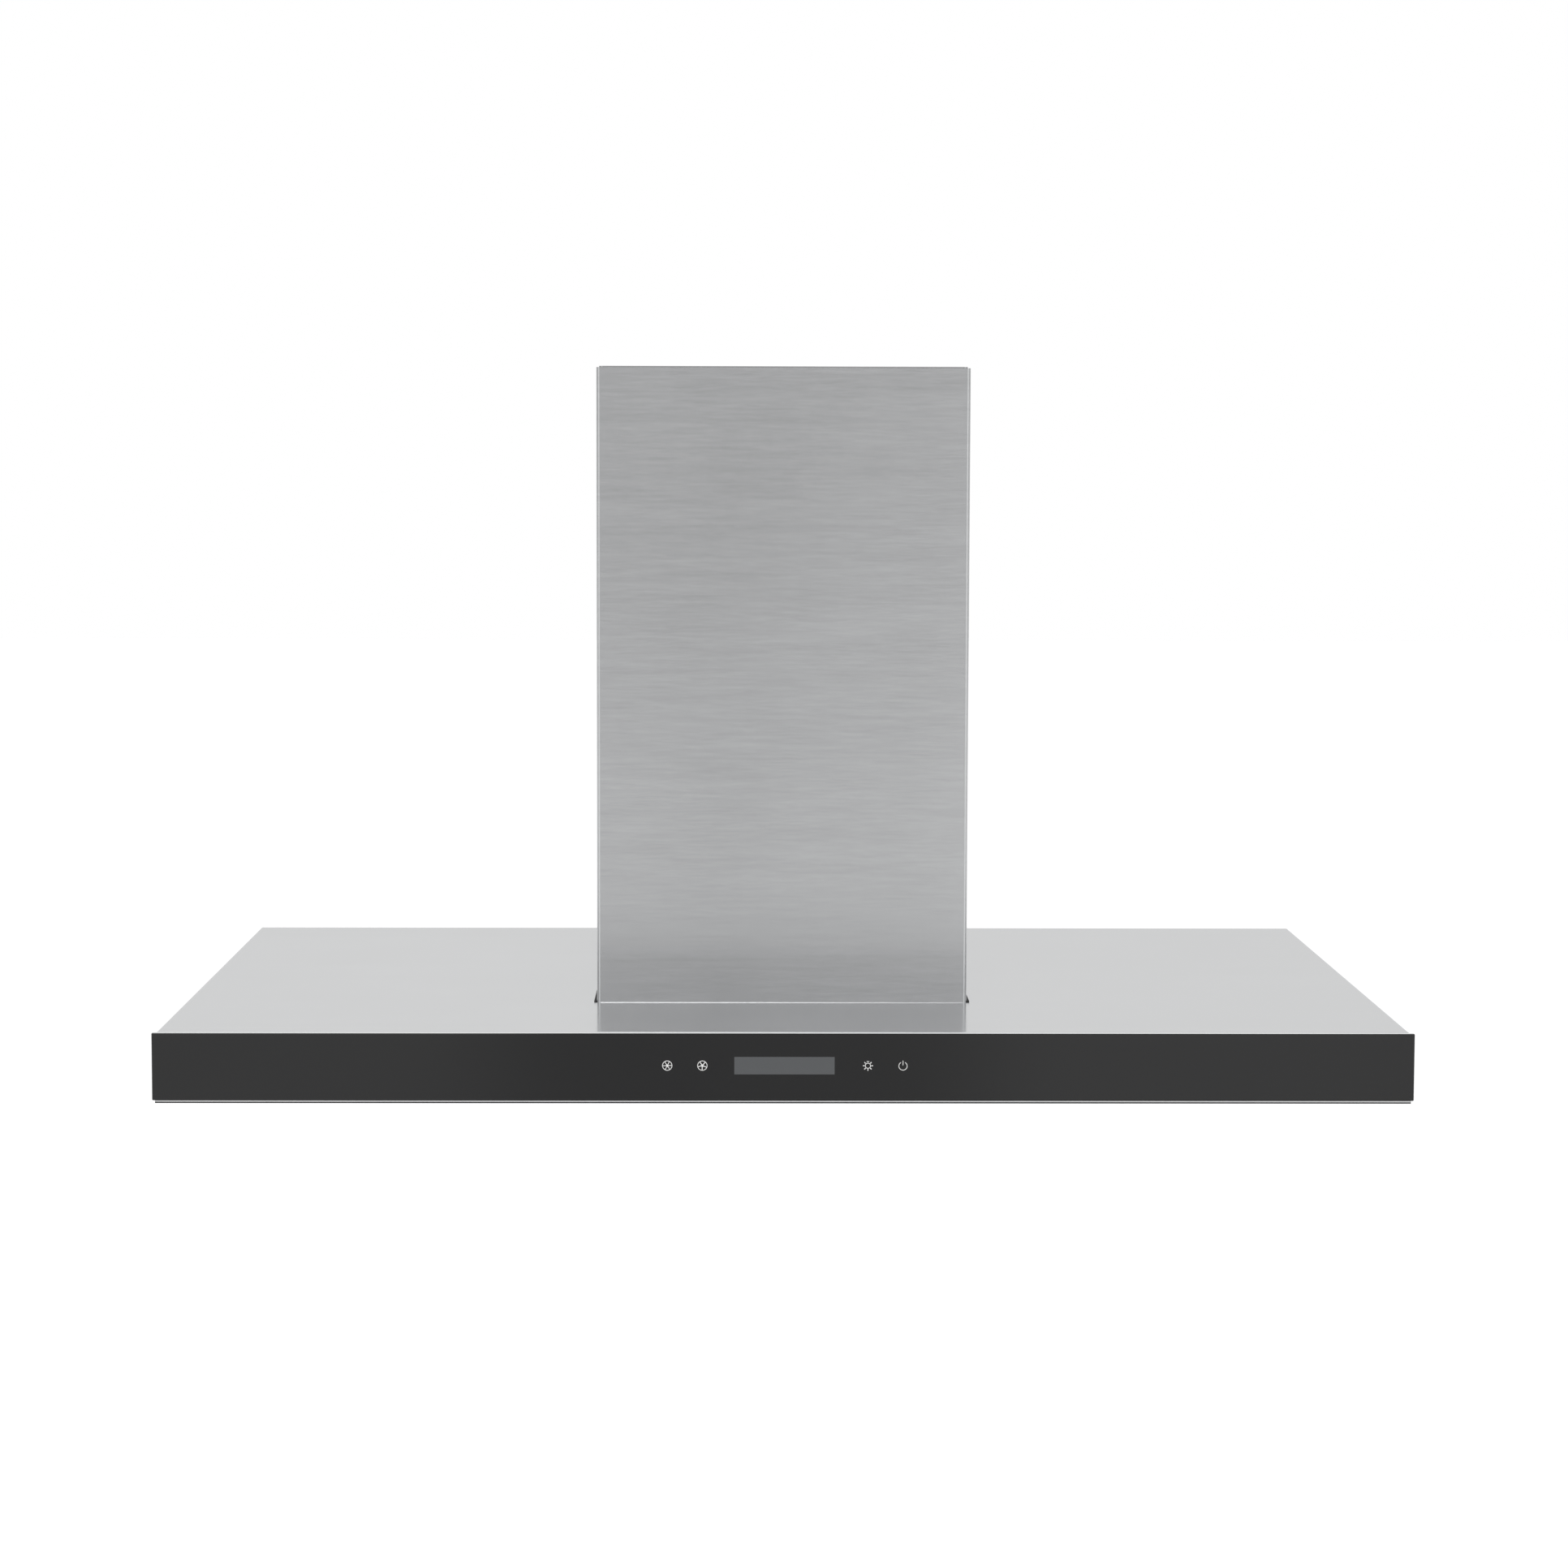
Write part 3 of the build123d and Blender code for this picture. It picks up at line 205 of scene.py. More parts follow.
def make_grain_group():
    """Brush lines: long along the sheet, fine across it, with faint clouds from handling."""
    group = bpy.data.node_groups.new("brush_grain", "ShaderNodeTree")
    face = group.interface
    face.new_socket("Flat Scale", in_out="INPUT", socket_type="NodeSocketVector")
    face.new_socket("Wall Scale", in_out="INPUT", socket_type="NodeSocketVector")
    face.new_socket("End Scale", in_out="INPUT", socket_type="NodeSocketVector")
    for name in ("Tint Amount", "Roughness", "Roughness Swing"):
        face.new_socket(name, in_out="INPUT", socket_type="NodeSocketFloat")
    face.new_socket("Tint", in_out="INPUT", socket_type="NodeSocketColor")
    face.new_socket("Color", in_out="OUTPUT", socket_type="NodeSocketColor")
    face.new_socket("Roughness", in_out="OUTPUT", socket_type="NodeSocketFloat")
    face.new_socket("Height", in_out="OUTPUT", socket_type="NodeSocketFloat")
    given = add_node(group, "NodeGroupInput")
    place = add_node(group, "ShaderNodeTexCoord")
    facing = add_node(group, "ShaderNodeSeparateXYZ")
    link(group, place.outputs["Normal"], facing.inputs[0])
    is_flat = math_node(group, "GREATER_THAN", math_node(group, "ABSOLUTE", facing.outputs["Z"]), 0.7)
    is_end = math_node(group, "GREATER_THAN", math_node(group, "ABSOLUTE", facing.outputs["X"]), 0.7)
    scale = given.outputs["Wall Scale"]
    for factor, option in ((is_flat, "Flat Scale"), (is_end, "End Scale")):
        pick = add_node(group, "ShaderNodeMix", data_type="VECTOR")
        link(group, factor, pick.inputs["Factor"])
        link(group, scale, pick.inputs[4])
        link(group, given.outputs[option], pick.inputs[5])
        scale = pick.outputs[1]
    stretched = add_node(group, "ShaderNodeVectorMath", operation="MULTIPLY")
    link(group, place.outputs["Object"], stretched.inputs[0])
    link(group, scale, stretched.inputs[1])
    lines = []
    for noise_scale, detail in ((1.0, 2.0), (0.31, 3.0), (0.06, 2.0)):
        noise = add_node(group, "ShaderNodeTexNoise",
                         inputs={"Scale": noise_scale, "Detail": detail, "Roughness": 0.6})
        link(group, stretched.outputs[0], noise.inputs["Vector"])
        lines.append(noise.outputs["Fac"])
    grain = math_node(group, "MULTIPLY_ADD", lines[1], 0.6, math_node(group, "MULTIPLY", lines[0], 0.4))
    cloud = add_node(group, "ShaderNodeTexNoise",
                     inputs={"Scale": 5.0, "Detail": 3.0, "Roughness": 0.5, "Distortion": 0.4})
    smear = add_node(group, "ShaderNodeMapping", inputs={"Scale": (1.6, 1.6, 0.55)})
    link(group, place.outputs["Object"], smear.inputs[0])
    link(group, smear.outputs[0], cloud.inputs["Vector"])
    wave = math_node(group, "SUBTRACT", grain, 0.5)
    half_cloud = math_node(group, "MULTIPLY", cloud.outputs["Fac"], 0.5)
    clouded = math_node(group, "MULTIPLY_ADD", lines[2], 0.5, half_cloud)
    broad = math_node(group, "SUBTRACT", clouded, 0.5)
    swing = math_node(group, "MULTIPLY_ADD", wave, 1.0, math_node(group, "MULTIPLY", broad, 0.8))
    bright = math_node(group, "MULTIPLY_ADD", swing, given.outputs["Tint Amount"], 1.0)
    colour = add_node(group, "ShaderNodeVectorMath", operation="SCALE")
    link(group, given.outputs["Tint"], colour.inputs[0])
    link(group, bright, colour.inputs["Scale"])
    rough = math_node(group, "MULTIPLY_ADD", swing, given.outputs["Roughness Swing"],
                      given.outputs["Roughness"])
    handed_on = add_node(group, "NodeGroupOutput")
    link(group, colour.outputs[0], handed_on.inputs["Color"])
    link(group, rough, handed_on.inputs["Roughness"])
    link(group, grain, handed_on.inputs["Height"])
    return group


grain_group = make_grain_group()


def brushed_steel(name, tint, roughness, swing, flat, wall, end, bump, anisotropy=0.85, amount=0.22):
    """Stainless steel whose gloss is stretched across its brush lines."""
    material = bpy.data.materials.new(name)
    material.use_nodes = True
    tree = material.node_tree
    shader = tree.nodes["Principled BSDF"]
    shader.inputs["Metallic"].default_value = 1.0
    shader.inputs["Anisotropic"].default_value = anisotropy
    grain = add_node(tree, "ShaderNodeGroup", node_tree=grain_group)
    grain.inputs["Flat Scale"].default_value = flat
    grain.inputs["Wall Scale"].default_value = wall
    grain.inputs["End Scale"].default_value = end
    grain.inputs["Tint"].default_value = (*tint, 1)
    grain.inputs["Tint Amount"].default_value = amount
    grain.inputs["Roughness"].default_value = roughness
    grain.inputs["Roughness Swing"].default_value = swing
    link(tree, grain.outputs["Color"], shader.inputs["Base Color"])
    link(tree, grain.outputs["Roughness"], shader.inputs["Roughness"])
    relief = add_node(tree, "ShaderNodeBump", inputs={"Strength": bump, "Distance": 0.0002})
    link(tree, grain.outputs["Height"], relief.inputs["Height"])
    link(tree, relief.outputs[0], shader.inputs["Normal"])
    # The brush lines run level round the walls and from side to side on a flat, and the gloss
    # spreads across them: up a wall, and front to back on a flat. On a flat the first product
    # is nothing, so a small sideways step gives the lines their way there.
    facing = add_node(tree, "ShaderNodeTexCoord")
    level = add_node(tree, "ShaderNodeVectorMath", operation="CROSS_PRODUCT")
    level.inputs[0].default_value = (0, 0, 1)
    link(tree, facing.outputs["Normal"], level.inputs[1])
    sideways = add_node(tree, "ShaderNodeVectorMath", operation="ADD")
    sideways.inputs[1].default_value = (0.05, 0, 0)
    link(tree, level.outputs[0], sideways.inputs[0])
    across = add_node(tree, "ShaderNodeVectorMath", operation="CROSS_PRODUCT")
    link(tree, facing.outputs["Normal"], across.inputs[0])
    link(tree, sideways.outputs[0], across.inputs[1])
    link(tree, across.outputs[0], shader.inputs["Tangent"])
    return material


canopy_steel = brushed_steel("canopy_steel", (0.736, 0.745, 0.753), 0.18, 0.05, anisotropy=0.90,
                             amount=0.14, bump=0.06,
                             flat=(60, 1000, 60), wall=(60, 60, 1000), end=(60, 1000, 60))
dress(canopy_steel, "canopy_shell", "bottom_panel")


# ---- Flue covers --------------------------------------------------------------------------
# Two telescopic sleeves, each of two C-shaped halves bent from brushed stainless sheet.
# The brush lines run level right round the bends.
flue_steel = brushed_steel("flue_steel", (0.626, 0.632, 0.640), 0.25, 0.07, amount=0.17,
                           flat=(100, 1250, 100), wall=(100, 100, 1250), end=(100, 100, 1250), bump=0.08)
dress(flue_steel, "lower_cover_front", "lower_cover_rear", "upper_cover_front", "upper_cover_rear")


# ---- Front glass --------------------------------------------------------------------------
# Toughened glass, fired black on its back and taped to the front of the canopy. Its edges are
# ground to a narrow arris all round, and a shallow pocket takes the display window.
def fresh():
    """Leaves edit mode and drops every selection."""
    if bpy.context.object and bpy.context.object.mode != "OBJECT":
        bpy.ops.object.mode_set(mode="OBJECT")
    bpy.ops.object.select_all(action="DESELECT")


def block(low, high):
    """Box between two corners, its place in its mesh."""
    fresh()
    middle = [(a + b) / 2 for a, b in zip(low, high)]
    bpy.ops.mesh.primitive_cube_add(size=1, location=middle, scale=[b - a for a, b in zip(low, high)])
    bpy.ops.object.transform_apply(location=True, rotation=True, scale=True)
    return bpy.context.object


def carve(piece, cutter):
    """Cuts one closed piece with another and clears the cutter away."""
    fresh()
    bpy.context.view_layer.objects.active = piece
    cut = piece.modifiers.new("cut", "BOOLEAN")
    cut.operation = "DIFFERENCE"
    cut.object = cutter
    bpy.ops.object.modifier_apply(modifier="cut")
    bpy.data.objects.remove(cutter)


def soften(piece, width, segments=2, angle=30):
    """Rounds a piece's sharp edges and smooths what is nearly level."""
    fresh()
    piece.select_set(True)
    bpy.context.view_layer.objects.active = piece
    bevel = piece.modifiers.new("bevel", "BEVEL")
    bevel.width = width
    bevel.segments = segments
    bevel.limit_method = "ANGLE"
    bevel.angle_limit = math.radians(angle)
    bpy.ops.object.modifier_apply(modifier="bevel")
    bpy.ops.object.shade_smooth_by_angle(angle=math.radians(35))


def finish_piece(piece, name, body, slot, materials, *replaced):
    """Names a made piece, dresses it, and fixes it to its body."""
    piece.name = name
    piece.data.name = name
    if not piece.data.materials:
        for material in materials:
            piece.data.materials.append(material)
    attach(piece, body)
    if replaced:
        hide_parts(*replaced)
    return piece


black_glass = bpy.data.materials.new("black_glass")
black_glass.use_nodes = True
glass_shader = black_glass.node_tree.nodes["Principled BSDF"]
glass_shader.inputs["Roughness"].default_value = 0.06
glass_shader.inputs["IOR"].default_value = 1.52
glass_tree = black_glass.node_tree
firing = add_node(glass_tree, "ShaderNodeTexNoise", inputs={"Scale": 7.0, "Detail": 3.0})
link(glass_tree, add_node(glass_tree, "ShaderNodeTexCoord").outputs["Object"], firing.inputs["Vector"])
enamel = add_node(glass_tree, "ShaderNodeMix", data_type="RGBA")
link(glass_tree, firing.outputs["Fac"], enamel.inputs["Factor"])
enamel.inputs[6].default_value = (0.0070, 0.0070, 0.0074, 1)
enamel.inputs[7].default_value = (0.0095, 0.0095, 0.0098, 1)
link(glass_tree, enamel.outputs[2], glass_shader.inputs["Base Color"])


def make_speckle_group():
    """Mottle for moulded, cast and plated finishes: a soft cloud with a fine grain over it."""
    group = bpy.data.node_groups.new("fine_speckle", "ShaderNodeTree")
    face = group.interface
    for name in ("Cloud Scale", "Grain Scale", "Tint Amount", "Roughness", "Roughness Swing"):
        face.new_socket(name, in_out="INPUT", socket_type="NodeSocketFloat")
    face.new_socket("Tint", in_out="INPUT", socket_type="NodeSocketColor")
    face.new_socket("Color", in_out="OUTPUT", socket_type="NodeSocketColor")
    face.new_socket("Roughness", in_out="OUTPUT", socket_type="NodeSocketFloat")
    face.new_socket("Height", in_out="OUTPUT", socket_type="NodeSocketFloat")
    given = add_node(group, "NodeGroupInput")
    place = add_node(group, "ShaderNodeTexCoord").outputs["Object"]
    cloud = add_node(group, "ShaderNodeTexNoise", inputs={"Detail": 3.0})
    grain = add_node(group, "ShaderNodeTexNoise", inputs={"Detail": 2.0, "Roughness": 0.7})
    for noise, size in ((cloud, "Cloud Scale"), (grain, "Grain Scale")):
        link(group, place, noise.inputs["Vector"])
        link(group, given.outputs[size], noise.inputs["Scale"])
    mottle = math_node(group, "MULTIPLY_ADD", cloud.outputs["Fac"], 0.65,
                       math_node(group, "MULTIPLY", grain.outputs["Fac"], 0.35))
    swing = math_node(group, "SUBTRACT", mottle, 0.5)
    colour = add_node(group, "ShaderNodeVectorMath", operation="SCALE")
    link(group, given.outputs["Tint"], colour.inputs[0])
    bright = math_node(group, "MULTIPLY_ADD", swing, given.outputs["Tint Amount"], 1.0)
    link(group, bright, colour.inputs["Scale"])
    rough = math_node(group, "MULTIPLY_ADD", swing, given.outputs["Roughness Swing"],
                      given.outputs["Roughness"])
    handed_on = add_node(group, "NodeGroupOutput")
    link(group, colour.outputs[0], handed_on.inputs["Color"])
    link(group, rough, handed_on.inputs["Roughness"])
    link(group, grain.outputs["Fac"], handed_on.inputs["Height"])
    return group


speckle_group = make_speckle_group()


def speckled(name, tint, roughness, metallic=0.0, cloud=20.0, grain=700.0, amount=0.3, swing=0.2,
             bump=0.1, coat=0.0):
    """Material with a plain colour that is mottled, and a fine relief."""
    material = bpy.data.materials.new(name)
    material.use_nodes = True
    tree = material.node_tree
    shader = tree.nodes["Principled BSDF"]
    shader.inputs["Metallic"].default_value = metallic
    shader.inputs["Coat Weight"].default_value = coat
    mottle = add_node(tree, "ShaderNodeGroup", node_tree=speckle_group)
    for socket, value in (("Cloud Scale", cloud), ("Grain Scale", grain), ("Tint Amount", amount),
                          ("Roughness", roughness), ("Roughness Swing", swing), ("Tint", (*tint, 1))):
        mottle.inputs[socket].default_value = value
    link(tree, mottle.outputs["Color"], shader.inputs["Base Color"])
    link(tree, mottle.outputs["Roughness"], shader.inputs["Roughness"])
    relief = add_node(tree, "ShaderNodeBump", inputs={"Strength": bump, "Distance": 0.0001})
    link(tree, mottle.outputs["Height"], relief.inputs["Height"])
    link(tree, relief.outputs[0], shader.inputs["Normal"])
    return material


ground_edge = speckled("ground_edge", (0.84, 0.86, 0.86), 0.42, grain=2500.0, amount=0.12)
arris = 0.0005
pocket_gap = 0.00005

glass_low, glass_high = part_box("front_glass")
window_low, window_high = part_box("display_window")
pane = block(glass_low, glass_high)
bpy.ops.object.mode_set(mode="EDIT")
bpy.ops.mesh.select_all(action="SELECT")
bpy.ops.mesh.bevel(offset=arris, segments=1, affect="EDGES")
bpy.ops.object.mode_set(mode="OBJECT")
carve(pane, block((window_low[0] - pocket_gap, glass_low[1] - 0.001, window_low[2] - pocket_gap),
                  (window_high[0] + pocket_gap, window_high[1], window_high[2] + pocket_gap)))
pane.data.materials.append(black_glass)
pane.data.materials.append(ground_edge)
edge_reach = 0.0001
for facet in pane.data.polygons:
    outside = any(abs(abs(facet.center[i]) - abs(limit[i])) < edge_reach
                  for i in (0, 2) for limit in (glass_low, glass_high))
    facet.material_index = 1 if outside and abs(facet.normal[1]) < 0.5 else 0
finish_piece(pane, "front_glass_pane", "hood", "black_glass", [], "front_glass")


# ---- Display and touch symbols ------------------------------------------------------------
# A smoked acrylic window, and symbols screened on the glass in hard-fired white enamel.
smoked_window = speckled("smoked_window", (0.088, 0.092, 0.096), 0.16, cloud=60.0, amount=0.10,
                         swing=0.05, bump=0.02)
dress(smoked_window, "display_window")
white_print = speckled("white_print", (0.78, 0.78, 0.77), 0.45, cloud=300.0, grain=3000.0, amount=0.15)
dress(white_print, "control_symbols")


# ---- Tape, rail and seals -----------------------------------------------------------------
# Foam tape holds the glass, which stands on a polished steel rail. The black strip under the rail is
# painted shade: it stands in for the shadow under the rail and takes the tape's black foam material. Rubber
# seals lie along the flue's foot.
# Black foam for the tape behind the glass; on the strip under the rail the same black is painted shade.
tape_foam_and_painted_shade = speckled("tape_foam_and_painted_shade", (0.030, 0.030, 0.031), 0.9, grain=1600.0, amount=0.5, bump=0.5)
dress(tape_foam_and_painted_shade, "glass_tape")
rail_steel = speckled("rail_steel", (0.66, 0.665, 0.67), 0.25, metallic=1.0, cloud=40.0, grain=1600.0,
                      amount=0.15)
dress(rail_steel, "glass_rail")
seal_rubber = speckled("seal_rubber", (0.021, 0.021, 0.022), 0.72, grain=900.0, amount=0.6, bump=0.3)
dress(seal_rubber, "base_seals", "motor_grommets")


# ---- Frame, plates and blower case --------------------------------------------------------
# Galvanised sheet and angle, cut, folded and bolted. The zinc shows its crystals as a spangle
# of flat patches, each a little lighter or darker than the next.
def galvanised_sheet(name, tint, crystal, roughness):
    """Zinc-coated steel with a spangle of crystals of the given size."""
    material = speckled(name, tint, roughness, metallic=1.0, cloud=14.0, grain=500.0, amount=0.25,
                        swing=0.15)
    tree = material.node_tree
    shader = tree.nodes["Principled BSDF"]
    flakes = add_node(tree, "ShaderNodeTexVoronoi", inputs={"Scale": 1 / crystal, "Randomness": 1.0})
    link(tree, add_node(tree, "ShaderNodeTexCoord").outputs["Object"], flakes.inputs["Vector"])
    shade = add_node(tree, "ShaderNodeSeparateColor")
    link(tree, flakes.outputs["Color"], shade.inputs[0])
    level = math_node(tree, "MULTIPLY_ADD", shade.outputs[0], 0.32, 0.84)
    colour = add_node(tree, "ShaderNodeVectorMath", operation="SCALE")
    mottle = next(node for node in tree.nodes if node.type == "GROUP")
    link(tree, mottle.outputs["Color"], colour.inputs[0])
    link(tree, level, colour.inputs["Scale"])
    link(tree, colour.outputs[0], shader.inputs["Base Color"])
    rough = math_node(tree, "MULTIPLY_ADD", shade.outputs[1], 0.16, mottle.outputs["Roughness"])
    link(tree, rough, shader.inputs["Roughness"])
    return material


galvanised = galvanised_sheet("galvanised", (0.55, 0.56, 0.575), 0.009, 0.34)
leg_names = [f"{tier}_leg_{corner}" for tier in ("upper", "lower")
             for corner in ("front_left", "front_right", "rear_left", "rear_right")]
dress(galvanised, "ceiling_plate", "upper_braces", "chassis_plate", "brace_band", *leg_names)
case_steel = galvanised_sheet("case_steel", (0.58, 0.585, 0.595), 0.014, 0.30)
dress(case_steel, "blower_box", "scroll_housing", "outlet_transition", "outlet_collar", "motor_bracket")
wheel_steel = galvanised_sheet("wheel_steel", (0.50, 0.51, 0.525), 0.006, 0.32)
dress(wheel_steel, "impeller_wheel")


# ---- Fixings ------------------------------------------------------------------------------
# Zinc-plated screws, bolts, nuts and pin, with a faint yellow and blue passivation.
zinc_plate = speckled("zinc_plate", (0.60, 0.59, 0.55), 0.28, metallic=1.0, cloud=160.0, grain=1800.0,
                      amount=0.35)
dress(zinc_plate, "clamp_bolts", "clamp_nuts", "chassis_screws", "damper_pin", "motor_shaft",
      "touch_springs", "panel_screws")


# ---- Cover screws -------------------------------------------------------------------------
# Stainless screws with flat heads and a cross recess, sunk level with the covers, two on each
# side of each sleeve.
def turned(profile, sides=32):
    """Round piece raised ring by ring along Z from a circle, closed at both ends."""
    fresh()
    radius, height = profile[0]
    bpy.ops.mesh.primitive_circle_add(vertices=sides, radius=radius, location=(0, 0, height),
                                      fill_type="NGON")
    bpy.ops.object.mode_set(mode="EDIT")
    bpy.ops.mesh.select_all(action="SELECT")
    for (near_radius, near), (far_radius, far) in zip(profile, profile[1:]):
        bpy.ops.mesh.extrude_region_move(TRANSFORM_OT_translate={"value": (0, 0, far - near)})
        growth = far_radius / near_radius
        bpy.ops.transform.resize(value=(growth, growth, 1), center_override=(0, 0, far))
    bpy.ops.mesh.select_all(action="SELECT")
    bpy.ops.mesh.normals_make_consistent(inside=False)
    bpy.ops.object.mode_set(mode="OBJECT")
    bpy.ops.object.transform_apply(location=True, rotation=True, scale=True)
    bpy.ops.object.shade_smooth_by_angle(angle=math.radians(35))
    return bpy.context.object


quarter_turns = {"+x": ("Y", -90), "-x": ("Y", 90), "+z": ("X", 0), "-z": ("X", 180)}


def set_out(piece, way, places):
    """Lays a piece raised along Z out at each place, pointing the given way, as one joined piece."""
    copies = []
    for place in places:
        fresh()
        piece.select_set(True)
        bpy.context.view_layer.objects.active = piece
        bpy.ops.object.duplicate()
        copy = bpy.context.object
        bpy.ops.object.mode_set(mode="EDIT")
        bpy.ops.mesh.select_all(action="SELECT")
        direction = way(place) if callable(way) else way
        axis, angle = quarter_turns[direction]
        bpy.ops.transform.rotate(value=math.radians(angle), orient_axis=axis, center_override=(0, 0, 0))
        bpy.ops.transform.translate(value=place)
        copies.append(copy)
    return joined(copies, piece)


def joined(pieces, *spent):
    """Joins pieces into the first one and clears away what they were copied from."""
    fresh()
    for piece in pieces:
        piece.select_set(True)
    bpy.context.view_layer.objects.active = pieces[0]
    if len(pieces) > 1:
        bpy.ops.object.join()
    whole = bpy.context.object
    for piece in spent:
        bpy.data.objects.remove(piece)
    return whole


screw_steel = speckled("screw_steel", (0.56, 0.565, 0.57), 0.24, metallic=1.0, cloud=200.0, grain=2600.0,
                       amount=0.2)
shank = 0.0019
recess_reach, recess_half, recess_depth = 0.0024, 0.0004, 0.0008
for tier, body in (("lower", "hood"), ("upper", "ceiling_frame")):
    low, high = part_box(f"{tier}_cover_screws")
    head = (high[2] - low[2]) / 2
    screw = turned([(shank, -0.0065), (shank, -0.0011), (head - 0.0004, -0.0010), (head, -0.0007),
                    (head, -0.0002), (head - 0.0002, 0.0)])
    for reach_x, reach_y in ((recess_reach, recess_half), (recess_half, recess_reach)):
        carve(screw, block((-reach_x, -reach_y, -recess_depth), (reach_x, reach_y, recess_depth)))
    places = [(x, y, (low[2] + high[2]) / 2) for x in (low[0], high[0])
              for y in (low[1] + head, high[1] - head)]
    screws = set_out(screw, lambda place: "+x" if place[0] > 0 else "-x", places)
    finish_piece(screws, f"{tier}_cover_cross_screws", body, "zinc_fixings", [screw_steel],
                 f"{tier}_cover_screws")


# ---- Motor and electrical parts -----------------------------------------------------------
# A pressed motor can, a foil capacitor in a moulded can, a moulded junction box and gland,
# and a touch board with its display block in a tray.
motor_can = speckled("motor_can", (0.42, 0.425, 0.43), 0.36, metallic=1.0, cloud=40.0, grain=1200.0,
                     amount=0.3)
low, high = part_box("motor")
wheel_low, wheel_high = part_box("impeller_wheel")
axle = (0.0, (wheel_low[1] + wheel_high[1]) / 2, (wheel_low[2] + wheel_high[2]) / 2)
flange = (high[2] - low[2]) / 2
can = flange - 0.007
length = high[0] - low[0]
flange_start = 0.033
flange_end = flange_start + 0.003
groove = can - 0.0012
motor_body = turned([(0.011, 0.0), (0.012, 0.0), (0.015, 0.0020), (0.019, 0.0022), (0.021, 0.0045),
                     (can - 0.008, 0.0050), (can - 0.002, 0.0085), (can, 0.0125), (can, 0.0190),
                     (groove, 0.0198), (groove, 0.0218), (can, 0.0226), (can, flange_start),
                     (flange, flange_start), (flange, flange_end), (can, flange_end),
                     (can, length - 0.0125), (can - 0.002, length - 0.0085), (can - 0.008, length - 0.0050),
                     (0.016, length - 0.0045), (0.012, length - 0.0006), (0.011, length)], sides=64)
terminals = block((-0.009, can - 0.004, 0.0105), (0.009, can + 0.005, 0.0185))
soften(terminals, 0.0006)
motor_piece = set_out(joined([motor_body, terminals]), "+x", [(low[0], axle[1], axle[2])])
finish_piece(motor_piece, "motor_can_and_flange", "hood", "galvanised", [motor_can], "motor")

moulded_black = speckled("moulded_black", (0.034, 0.034, 0.037), 0.46, cloud=30.0, grain=1100.0,
                         amount=0.35, bump=0.35)
dress(moulded_black, "control_box", "display_module")

low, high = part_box("junction_box")
lid = 0.0035
rim = 0.0012
case = block((low[0] + rim, low[1] + rim, low[2] + lid), high)
soften(case, 0.0010)
cover = block(low, (high[0], high[1], low[2] + lid))
soften(cover, 0.0010, segments=3)
lid_screw = turned([(0.0022, 0.0), (0.0022, 0.0004), (0.0019, 0.0006)], sides=20)
carve(lid_screw, block((-0.0024, -0.0003, 0.0001), (0.0024, 0.0003, 0.001)))
inset = 0.006
corners = [(x, y, low[2] + 0.0005) for x in (low[0] + inset, high[0] - inset)
           for y in (low[1] + inset, high[1] - inset)]
lid_screws = set_out(lid_screw, "-z", corners)
finish_piece(joined([case, cover, lid_screws]), "junction_case_and_lid", "hood", "black_plastic",
             [moulded_black], "junction_box")

low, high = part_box("cable_gland")
middle = ((low[0] + high[0]) / 2, (low[1] + high[1]) / 2)
thread_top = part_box("blower_box")[1][2]
nut = turned([(0.0105, 0.0), (0.0110, 0.0005), (0.0110, 0.0065), (0.0105, 0.0070)], sides=6)
cap = turned([(0.0092, 0.0070), (0.0092, 0.0120), (0.0088, 0.0132), (0.0074, 0.0155), (0.0062, 0.0168),
              (0.0058, 0.0170), (0.0042, 0.0170), (0.0041, 0.0090)], sides=48)
spigot = turned([(0.0078, -0.0092), (0.0080, -0.0088), (0.0080, 0.0)], sides=48)
gland = set_out(joined([nut, cap, spigot]), "+z", [(*middle, thread_top)])
finish_piece(gland, "cable_gland_nut_and_cap", "hood", "black_plastic", [moulded_black], "cable_gland")

capacitor_can = speckled("capacitor_can", (0.055, 0.056, 0.060), 0.34, cloud=50.0, grain=900.0, amount=0.2)
low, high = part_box("capacitor")
radius = (high[1] - low[1]) / 2
height = high[2] - low[2]
can_body = turned([(radius - 0.002, 0.0), (radius - 0.0006, 0.0006), (radius, 0.0022),
                   (radius, height - 0.0062), (radius - 0.0012, height - 0.0056),
                   (radius - 0.0012, height - 0.0042), (radius, height - 0.0036),
                   (radius - 0.0004, height - 0.0016), (radius - 0.002, height - 0.0012),
                   (0.006, height - 0.0018)], sides=48)
tag_half = 0.0028
tags = [block((x - tag_half, -0.0004, height - 0.0030), (x + tag_half, 0.0004, height))
        for x in (-0.006, 0.006)]
foot = block((radius - 0.006, -0.008, height / 2 - 0.006),
             (high[0] - low[0] - radius, 0.008, height / 2 + 0.006))
soften(foot, 0.0010)
stand = (low[0] + radius, (low[1] + high[1]) / 2, low[2])
capacitor_piece = set_out(joined([can_body, foot, *tags]), "+z", [stand])
finish_piece(capacitor_piece, "capacitor_can_and_tags", "hood", "black_plastic", [capacitor_can],
             "capacitor")

solder_mask = speckled("solder_mask", (0.014, 0.105, 0.045), 0.34, cloud=90.0, grain=1500.0,
                       amount=0.6, coat=0.5)
dress(solder_mask, "touch_board")


# ---- Damper flaps -------------------------------------------------------------------------
# Two half discs moulded in grey plastic, with knuckles that take turns along the pin.
flap_plastic = speckled("flap_plastic", (0.32, 0.33, 0.34), 0.48, cloud=25.0, grain=1000.0,
                        amount=0.2, bump=0.3)
dress(flap_plastic, "damper_flap_front", "damper_flap_rear")


